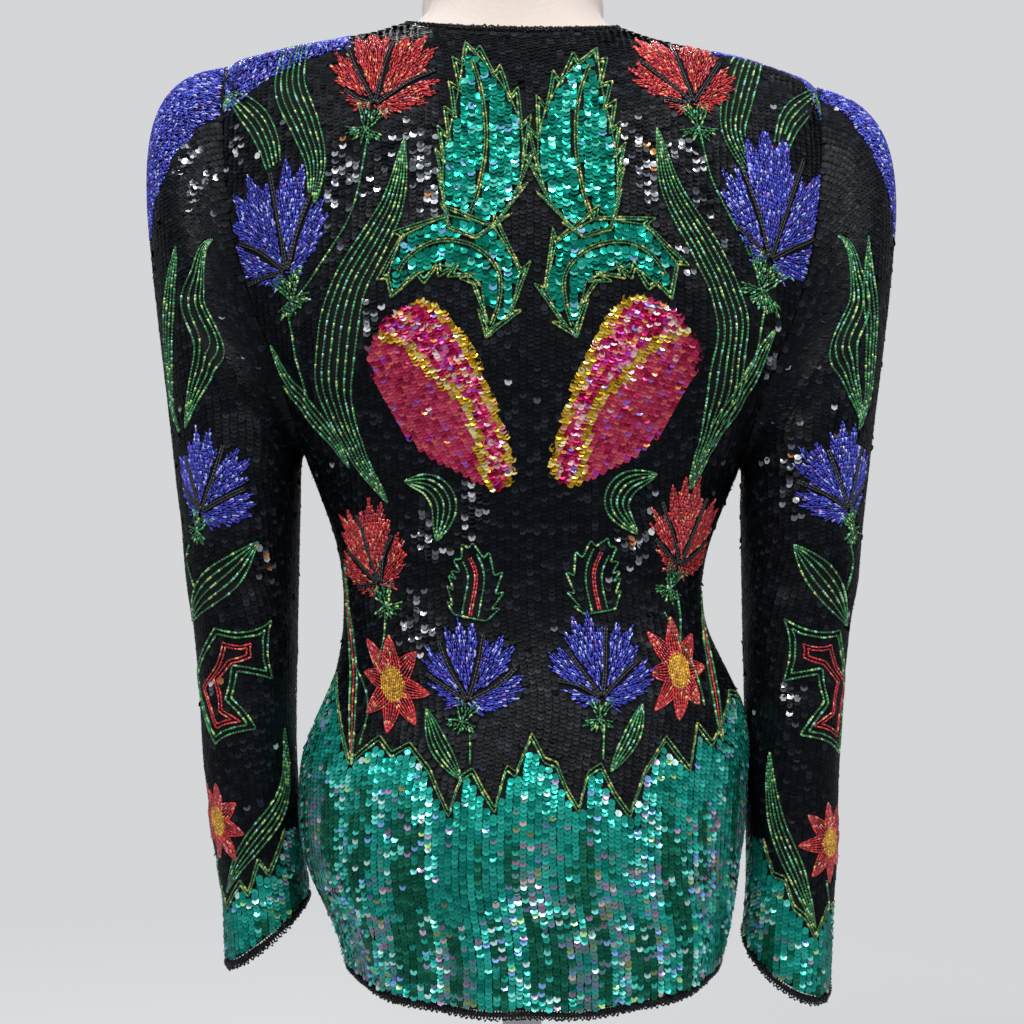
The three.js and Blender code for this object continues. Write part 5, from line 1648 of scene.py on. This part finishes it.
# Motifs seen in the photograph: pixels in its 1024 frame, lengths in millimetres. A carnation is its
# base, tip, kind and fullness, a ribbon its spine, half width, threads and opening, a star its middle,
# height, width and turn, and a blade or a notched leaf its spine and shape. A tulip is its top, bottom
# and hand, an arabesque its tips outside and inside, and a spot of glints its middle and radius.
LEFT = {
    "carnations": [
        ((374, 105), (399, 34), "red", 0.42), ((286, 272), (258, 170), "blue", 0.32),
        ((380, 584), (352, 502), "red", 0.42), ((468, 702), (480, 624), "blue", 0.55),
    ],
    "ribbons": [
        ([(298, 46), (290, 85), (306, 128), (316, 165), (311, 218)], 10, 6, (0.3, 1)),
        ([(205, 92), (232, 97), (255, 118), (268, 142), (274, 166)], 7.5, 5, (0, 0.8)),
        ([(405, 138), (392, 205), (350, 282), (336, 338), (336, 400), (358, 455), (388, 503)],
         11.5, 6, (0, 1)),
        ([(271, 345), (285, 378), (312, 414), (350, 468)], 6, 4, (0, 1)),
        ([(405, 481), (431, 486), (444, 506), (437, 541)], 8, 5, (0, 1)),
        ([(426, 709), (437, 742), (461, 780)], 5.5, 5, (0, 1)),
        ([(345, 560), (352, 640), (353, 700), (352, 765)], 3.6, 3, (0, 1)),
    ],
    "stems": [
        [(369, 132), (352, 210), (318, 268), (296, 300)], [(289, 318), (296, 358), (306, 392)],
        [(386, 612), (384, 640), (378, 662)], [(470, 735), (470, 765)],
        [(352, 655), (368, 700), (360, 745)],
    ],
    "stars": [((393, 684), 66, 50, 0.12)],
    "blades": [
        ([(391, 298), (404, 262), (436, 241), (474, 246), (498, 270), (499, 302), (486, 338)], *HOOK),
        ([(465, 42), (481, 90), (486, 140), (478, 190), (462, 234)], *HORN),
    ],
    "tulip": ((401, 308), (500, 486), 1),
    "notched": [([(462, 544), (476, 575), (470, 618)], *NOTCHED)],
    "patch": [(350, 48), (302, 62), (262, 84), (222, 114)],
    "flame": [
        (318, 700), (338, 672), (350, 760), (380, 735), (392, 752), (410, 742), (430, 768),
        (449, 812), (462, 775), (473, 768), (484, 790), (495, 808), (507, 765), (516, 772), (532, 733),
    ],
    "glints": [
        ((412, 158), 16), ((440, 190), 12), ((345, 175), 18), ((290, 120), 9), ((425, 545), 12),
        ((366, 322), 8), ((236, 150), 12), ((252, 120), 8), ((392, 160), 10), ((425, 640), 8),
        ((470, 510), 10), ((412, 620), 10), ((365, 320), 10),
    ],
}
RIGHT = {
    "carnations": [
        ((693, 104), (664, 36), "red", 0.42), ((770, 260), (796, 146), "blue", 0.32),
        ((678, 566), (706, 484), "red", 0.42), ((602, 698), (598, 614), "blue", 0.55),
    ],
    "ribbons": [
        ([(750, 60), (738, 95), (733, 130), (747, 165), (764, 200)], 9.5, 6, (0.3, 1)),
        ([(842, 92), (815, 98), (792, 118), (780, 148)], 7, 5, (0, 0.8)),
        ([(657, 128), (672, 190), (708, 255), (731, 310), (729, 370), (712, 430), (686, 498)],
         11.5, 6, (0, 1)),
        ([(775, 330), (754, 372), (731, 410), (700, 462)], 6, 4, (0, 1)),
        ([(657, 474), (627, 484), (617, 506), (637, 534)], 8, 5, (0, 1)),
        ([(642, 704), (631, 738), (611, 772)], 5.5, 5, (0, 1)),
        ([(702, 592), (707, 650), (716, 700), (722, 742)], 3.6, 3, (0, 1)),
    ],
    "stems": [
        [(699, 128), (712, 180), (738, 232), (762, 282)], [(766, 300), (758, 345), (744, 380)],
        [(676, 590), (680, 618), (680, 640)], [(604, 725), (603, 760)],
        [(664, 612), (690, 660), (704, 706)],
    ],
    "stars": [((679, 671), 67, 48, 0.05)],
    "blades": [
        ([(672, 300), (658, 262), (628, 242), (590, 248), (566, 272), (566, 304), (577, 338)], *HOOK),
        ([(597, 48), (580, 92), (576, 142), (583, 190), (598, 234)], *HORN),
    ],
    "tulip": ((664, 303), (566, 484), -1),
    "notched": [([(608, 538), (594, 572), (600, 612)], *NOTCHED)],
    "patch": [(718, 52), (764, 64), (800, 80), (836, 104)],
    "flame": [
        (532, 733), (545, 758), (557, 762), (568, 790), (579, 808), (588, 772), (601, 763), (615, 792),
        (630, 813), (645, 770), (666, 736), (678, 752), (690, 767), (697, 722), (712, 742), (728, 690),
        (742, 705),
    ],
    "glints": [
        ((690, 150), 12), ((650, 150), 10), ((650, 190), 10), ((705, 200), 9), ((650, 530), 9),
        ((686, 265), 8), ((635, 140), 10), ((860, 200), 10), ((785, 372), 12), ((632, 540), 10),
        ((600, 590), 8), ((720, 250), 8),
    ],
}
LEFT_SLEEVE = {
    "carnations": [((202, 512), (222, 436), "blue", 0.5)],
    "ribbons": [
        ([(176, 246), (168, 330), (172, 400), (180, 432)], 6.5, 4, (0, 1)),
        ([(213, 240), (196, 290), (208, 350), (186, 428)], 9, 5, (0, 1)),
        ([(258, 542), (226, 575), (192, 622)], 9, 5, (0, 1)),
        ([(284, 728), (284, 790), (254, 842), (228, 892)], 6, 5, (0, 1)),
    ],
    "stems": [[(190, 545), (188, 560), (196, 590)], [(222, 845), (218, 870), (222, 888)]],
    "stars": [((218, 821), 54, 48, 0.2)],
    "arabesque": (
        [(215, 628), (271, 620), (272, 679), (237, 671), (231, 698), (256, 729), (216, 744), (198, 673)],
        [(223, 642), (252, 643), (252, 656), (231, 663), (217, 680), (222, 710), (241, 722), (217, 729),
         (204, 686), (217, 665)],
    ),
    "patch": [(220, 116), (190, 140), (168, 172), (154, 210)],
    "flame": [(214, 890), (228, 905), (240, 880), (248, 892), (258, 858), (268, 872), (284, 828)],
    "glints": [((185, 160), 10), ((195, 190), 9), ((262, 560), 9), ((215, 690), 8)],
}
RIGHT_SLEEVE = {
    "carnations": [((848, 510), (828, 428), "blue", 0.5)],
    "ribbons": [
        ([(868, 236), (872, 320), (868, 390), (858, 430)], 6.5, 4, (0, 1)),
        ([(838, 236), (858, 290), (842, 350), (862, 425)], 9, 5, (0, 1)),
        ([(794, 545), (822, 578), (846, 625)], 9, 5, (0, 1)),
        ([(770, 752), (776, 820), (799, 880), (815, 928)], 6, 5, (0, 1)),
    ],
    "stems": [[(850, 545), (852, 565), (846, 590)], [(826, 880), (828, 905), (822, 925)]],
    "stars": [((830, 842), 56, 50, 0.1)],
    "arabesque": (
        [(839, 630), (784, 618), (784, 681), (818, 674), (824, 702), (800, 735), (838, 754), (853, 680)],
        [(831, 645), (802, 643), (803, 657), (823, 664), (837, 682), (832, 712), (813, 726), (836, 737),
         (848, 690), (836, 666)],
    ),
    "patch": [(835, 106), (858, 132), (876, 164), (890, 205)],
    "flame": [
        (764, 838), (774, 872), (785, 876), (794, 905), (806, 915), (815, 935), (826, 905), (836, 888),
    ],
    "glints": [((790, 470), 12), ((800, 500), 8), ((865, 300), 8), ((790, 700), 8)],
}
MOTIFS = {
    "back": (LEFT, RIGHT), "front_right": (RIGHT,), "front_left": (LEFT,),
    "sleeve_right": (RIGHT_SLEEVE,), "sleeve_left": (LEFT_SLEEVE,),
}
FRONT_SQUEEZE = 0.8  # the front's neck is lower, so its upper motifs sit lower
FRONT_SHIFT = 3
OTHER_SIDE_DROP = 12  # motifs round the front of a sleeve, against those behind
PATCH_TOP = 260
OVER_SHOULDER = ((-40, 900), (40, 900))  # beyond a sleeve's top
PATCH_POINTS = ((0.72, 20), (0.45, 4), (0, 32), (-0.45, 4), (-0.72, 20))
# The border's edge near the side seams: how far past the seam, and up from the edge's highest point
BORDER_ENDS = {
    "left": ((8, -4), (-12, -30)), "right": ((-10, -34), (8, -6)), "front": ((-10, -30), (8, -6)),
}
PIXEL_SIZE = METRES_PER_PIXEL / MM


def to_front(uv):
    """Where a motif of the back's half lies on the front panel of the same side."""
    u = np.abs(uv[:, 0])
    share = FRONT_SQUEEZE + (1 - FRONT_SQUEEZE) * smoothstep(50, 130, u)
    v = np.where(uv[:, 1] > UNDERARM_Z, UNDERARM_Z + (uv[:, 1] - UNDERARM_Z) * share, uv[:, 1])
    return np.stack([u + FRONT_SHIFT, v], -1)


def to_other_side(uv):
    """Where a motif from the back of a sleeve lies round its front."""
    return uv * (-1, 1) - (0, OTHER_SIDE_DROP)


def sew(layout, motifs, photo_panel, move=None, mirrored=False):
    """Lays one table of motifs on a panel, moved from where the photograph shows them."""

    def placed(pixels):
        uv = photo_panel.from_photo(pixels)
        return uv if move is None else move(uv)

    for base, tip, kind, full in motifs["carnations"]:
        layout.carnation(*placed([base, tip]), kind, full)
    for spine, *shape in motifs["ribbons"]:
        layout.ribbon(placed(spine), *shape)
    for line in motifs["stems"]:
        layout.string(smooth_line(placed(line)), "green")
    for middle, *shape in motifs["stars"]:
        layout.star(placed([middle])[0], *shape)
    for spine, *shape in motifs.get("blades", []):
        layout.blade(placed(spine), *shape)
    if "tulip" in motifs:
        top, bottom, hand = motifs["tulip"]
        layout.tulip(*placed([top, bottom]), -hand if mirrored else hand)
    for spine, *shape in motifs.get("notched", []):
        layout.outlined(placed(spine), *shape)
    if "arabesque" in motifs:
        sags = [np.array(bows) * PIXEL_SIZE for bows in ARABESQUE_SAGS]
        layout.arabesque(*zip([placed(tips) for tips in motifs["arabesque"]], sags))
    return placed


def shoulder_patch(inner):
    """A patch's outline, from its inner line up over the panel's edge."""
    return np.concatenate([inner, inner[::-1] + (0, PATCH_TOP)])


def border_end(points, hand, name):
    """Where the border's edge goes on from its points to the side seam."""
    seam, top = back.u.max(), points[:, 1].max()
    return [(hand * (seam + out), top + up) for out, up in BORDER_ENDS[name]]


layouts = {panel.name: Layout(panel) for panel in PANELS}

turning_points = []
for motifs in (LEFT, RIGHT):
    placed = sew(layouts["back"], motifs, back)
    layouts["back"].mosaic(shoulder_patch(placed(motifs["patch"])))
    turning_points.append(placed(motifs["flame"]))
flame = np.concatenate(turning_points)
ends = [*border_end(flame, -1, "left"), *border_end(flame, 1, "right")]
layouts["back"].edge_flame([*flame, *ends])

for side, motifs in (("right", RIGHT), ("left", LEFT)):
    layout = layouts["front_" + side]
    placed = sew(layout, motifs, back, to_front, mirrored=side == "left")
    layout.mosaic(shoulder_patch(placed(motifs["patch"])))
    points = placed(motifs["flame"])
    layout.edge_flame([*points, *border_end(points, 1, "front")])

for side, motifs, panel in (("right", RIGHT_SLEEVE, sleeve_right), ("left", LEFT_SLEEVE, sleeve_left)):
    layout = layouts["sleeve_" + side]
    sew(layout, motifs, panel)
    sew(layout, motifs, panel, to_other_side, mirrored=True)
    inner = panel.from_photo(motifs["patch"])
    low_u, low_v = inner[-1]
    points = [(low_u * share, low_v - drop) for share, drop in PATCH_POINTS]
    outline = [inner, points, (inner * (-1, 1))[::-1], OVER_SHOULDER]
    layout.mosaic(np.concatenate(outline))
    points = panel.from_photo(motifs["flame"])
    layout.edge_flame([*points, *to_other_side(points)])

sequin_plastic = sequin_material()
glass = glass_material("glass_beads", 0.07, 0.5, 0.25)
jet = glass_material("jet_beads", 0.01, 0.22, 0.08)
sequins, beads = {}, {}
for seed, panel in enumerate(PANELS):
    spots = [spot for motifs in MOTIFS[panel.name] for spot in motifs["glints"]]
    pixels = [pixel for pixel, radius in spots]
    found = to_front(back.from_photo(pixels)) if "front" in panel.name else panel.from_photo(pixels)
    glints = [(place, radius) for place, (pixel, radius) in zip(found, spots)]
    sequins[panel.name] = sequin_piece(layouts[panel.name], 10 * seed, glints)
    beads[panel.name] = bead_piece(layouts[panel.name])


def round_edge(row, step):
    """The neck's or hem's edge, from the right centre front round the back to the left.

    Every edge is its points, points a little inside the cloth, normals, and whether it closes.
    """
    order = ((front_right, 1), (back, -1), (front_left, -1))
    points = np.concatenate([panel.points[row][::way] for panel, way in order])
    before = np.concatenate([panel.points[row + step][::way] for panel, way in order])
    normals = np.concatenate([panel.normals[row][::way] for panel, way in order])
    for line in (points, before):
        line[0, 0] -= FRONT_INSET - SEAM_GAP
        line[-1, 0] += FRONT_INSET - SEAM_GAP
    return points, before, normals, False


def front_edge(panel):
    """A front's centre edge, from hem to neck."""
    before = panel.points[:, REFINE_COLUMNS].copy()
    before[:, 2] = panel.points[:, 0, 2]
    return panel.points[:, 0], before, panel.normals[:, 0], False


def cuff_edge(panel):
    """A sleeve's lower edge, all round."""
    row = panel.points.shape[0] - 1
    return panel.points[row], panel.points[row - REFINE_ROWS], panel.normals[row], True


def octahedra(middles, radius):
    """Points and faces of small turned octahedra, which read as round beads."""
    count = len(middles)
    corners = np.concatenate([np.eye(3), -np.eye(3)])[[0, 3, 1, 4, 2, 5]]
    turns = np.linalg.qr(rng.normal(0, 1, (count, 3, 3)))[0]
    turns *= np.sign(np.linalg.det(turns))[:, None, None]
    size = radius * rng.uniform(0.85, 1.12, (count, 1, 1))
    points = middles[:, None] + np.einsum("kij,cj->kci", turns, corners) * size
    sides = [(0, 2, 4), (2, 1, 4), (1, 3, 4), (3, 0, 4), (2, 0, 5), (1, 2, 5), (3, 1, 5), (0, 3, 5)]
    faces = 6 * np.arange(count)[:, None, None] + np.array(sides)
    return points.reshape(-1, 3), faces.reshape(-1, 3)


def thread_tube(middle, outward, normal, is_loop):
    """Points and faces of the thread inside an edging."""
    count, sides = len(middle), ROPE_CORE_SIDES
    turn = 2 * np.pi * np.arange(sides) / sides
    way = outward[:, None] * np.cos(turn)[None, :, None] + normal[:, None] * np.sin(turn)[None, :, None]
    points = middle[:, None] + ROPE_CORE * way
    j, k = np.meshgrid(np.arange(count - 1) * sides, np.arange(sides), indexing="ij")
    after = (k + 1) % sides
    quads = np.stack([j + k, j + after, j + sides + after, j + sides + k], -1)
    faces = [quads.reshape(-1, 4)]
    if not is_loop:
        ring = np.arange(sides)
        faces.append(np.array([ring[::-1], ring + (count - 1) * sides]))
    return points.reshape(-1, 3), faces


def rope(node, edge):
    """A rolled edging: rings of small black beads round a thread, with loops of three along it."""
    points, before, normals, is_loop = edge
    gaps = np.linalg.norm(np.diff(points, axis=0), axis=1)
    kept = np.concatenate([[True], gaps > 0.2])
    points, before, normals = points[kept], before[kept], normals[kept]
    along = np.gradient(points, axis=0)
    if is_loop:
        along[0] = along[-1] = points[1] - points[-2]
    along = unit(along)
    out = points - before
    out = unit(out - along * (out * along).sum(1, keepdims=True))
    line = points + out * (CORD_RADIUS + SEAM_GAP) - normals * WALL / 2
    length = np.concatenate([[0], np.cumsum(np.linalg.norm(np.diff(line, axis=0), axis=1))])

    def at(places):
        middle, outward, normal = [
            np.stack([np.interp(places, length, array[:, k]) for k in range(3)], -1)
            for array in (line, out, normals)
        ]
        return middle, unit(outward), unit(normal)

    rings = np.arange(ROPE_BEAD, length[-1] - ROPE_BEAD * 0.5, 2 * ROPE_BEAD * 0.94)
    middle, outward, normal = at(rings)
    middles = []
    for k in range(ROPE_SIDES):
        turn = 2 * np.pi * (k + 0.5 * (np.arange(len(rings)) % 2)) / ROPE_SIDES
        way = outward * np.cos(turn)[:, None] + normal * np.sin(turn)[:, None]
        middles.append(middle + way * (ROPE_RADIUS + rng.uniform(-0.12, 0.18, (len(rings), 1))))
    loops = np.arange(2, length[-1] - 2, PICOT_PITCH)
    loops += rng.uniform(-0.4, 0.4, len(loops))
    for shift, high in PICOT_BEADS:
        middle, outward, normal = at(loops + shift)
        tall = ROPE_RADIUS + high + rng.uniform(-0.3, 0.4, (len(loops), 1))
        middles.append(middle + outward * tall + normal * rng.uniform(-0.6, 0.6, (len(loops), 1)))
    bead_corners, bead_faces = octahedra(np.concatenate(middles), ROPE_BEAD)
    steps = np.arange(0, length[-1] + ROPE_CORE_STEP, ROPE_CORE_STEP)
    steps[-1] = length[-1]
    tube, tube_faces = thread_tube(*at(steps), is_loop)
    faces = [bead_faces, *[block + len(bead_corners) for block in tube_faces]]
    made = mesh_object(node + "_beads", np.concatenate([bead_corners, tube]), faces, jet)
    bead_tints = drawn_colours(BEAD_COLOURS_AND_HIGHLIGHTS["black"], len(bead_corners) // 6)
    paint(made, np.concatenate([np.repeat(bead_tints, 6, 0), np.tile(rgb(*THREAD_BLACK), (len(tube), 1))]))
    turn_faces_outward(made)
    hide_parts(node)
    return made


EDGES = {
    "neck_edging": round_edge(-1, -REFINE_ROWS),
    "hem_edging": round_edge(0, REFINE_ROWS),
    "front_edging_right": front_edge(front_right),
    "front_edging_left": front_edge(front_left),
    "cuff_edging_right": cuff_edge(sleeve_right),
    "cuff_edging_left": cuff_edge(sleeve_left),
}
trims = [rope(node, edge) for node, edge in EDGES.items()]

for piece in [*cloths.values(), form, *stand_pieces, *sequins.values(), *beads.values(), *trims]:
    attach(piece, "root")
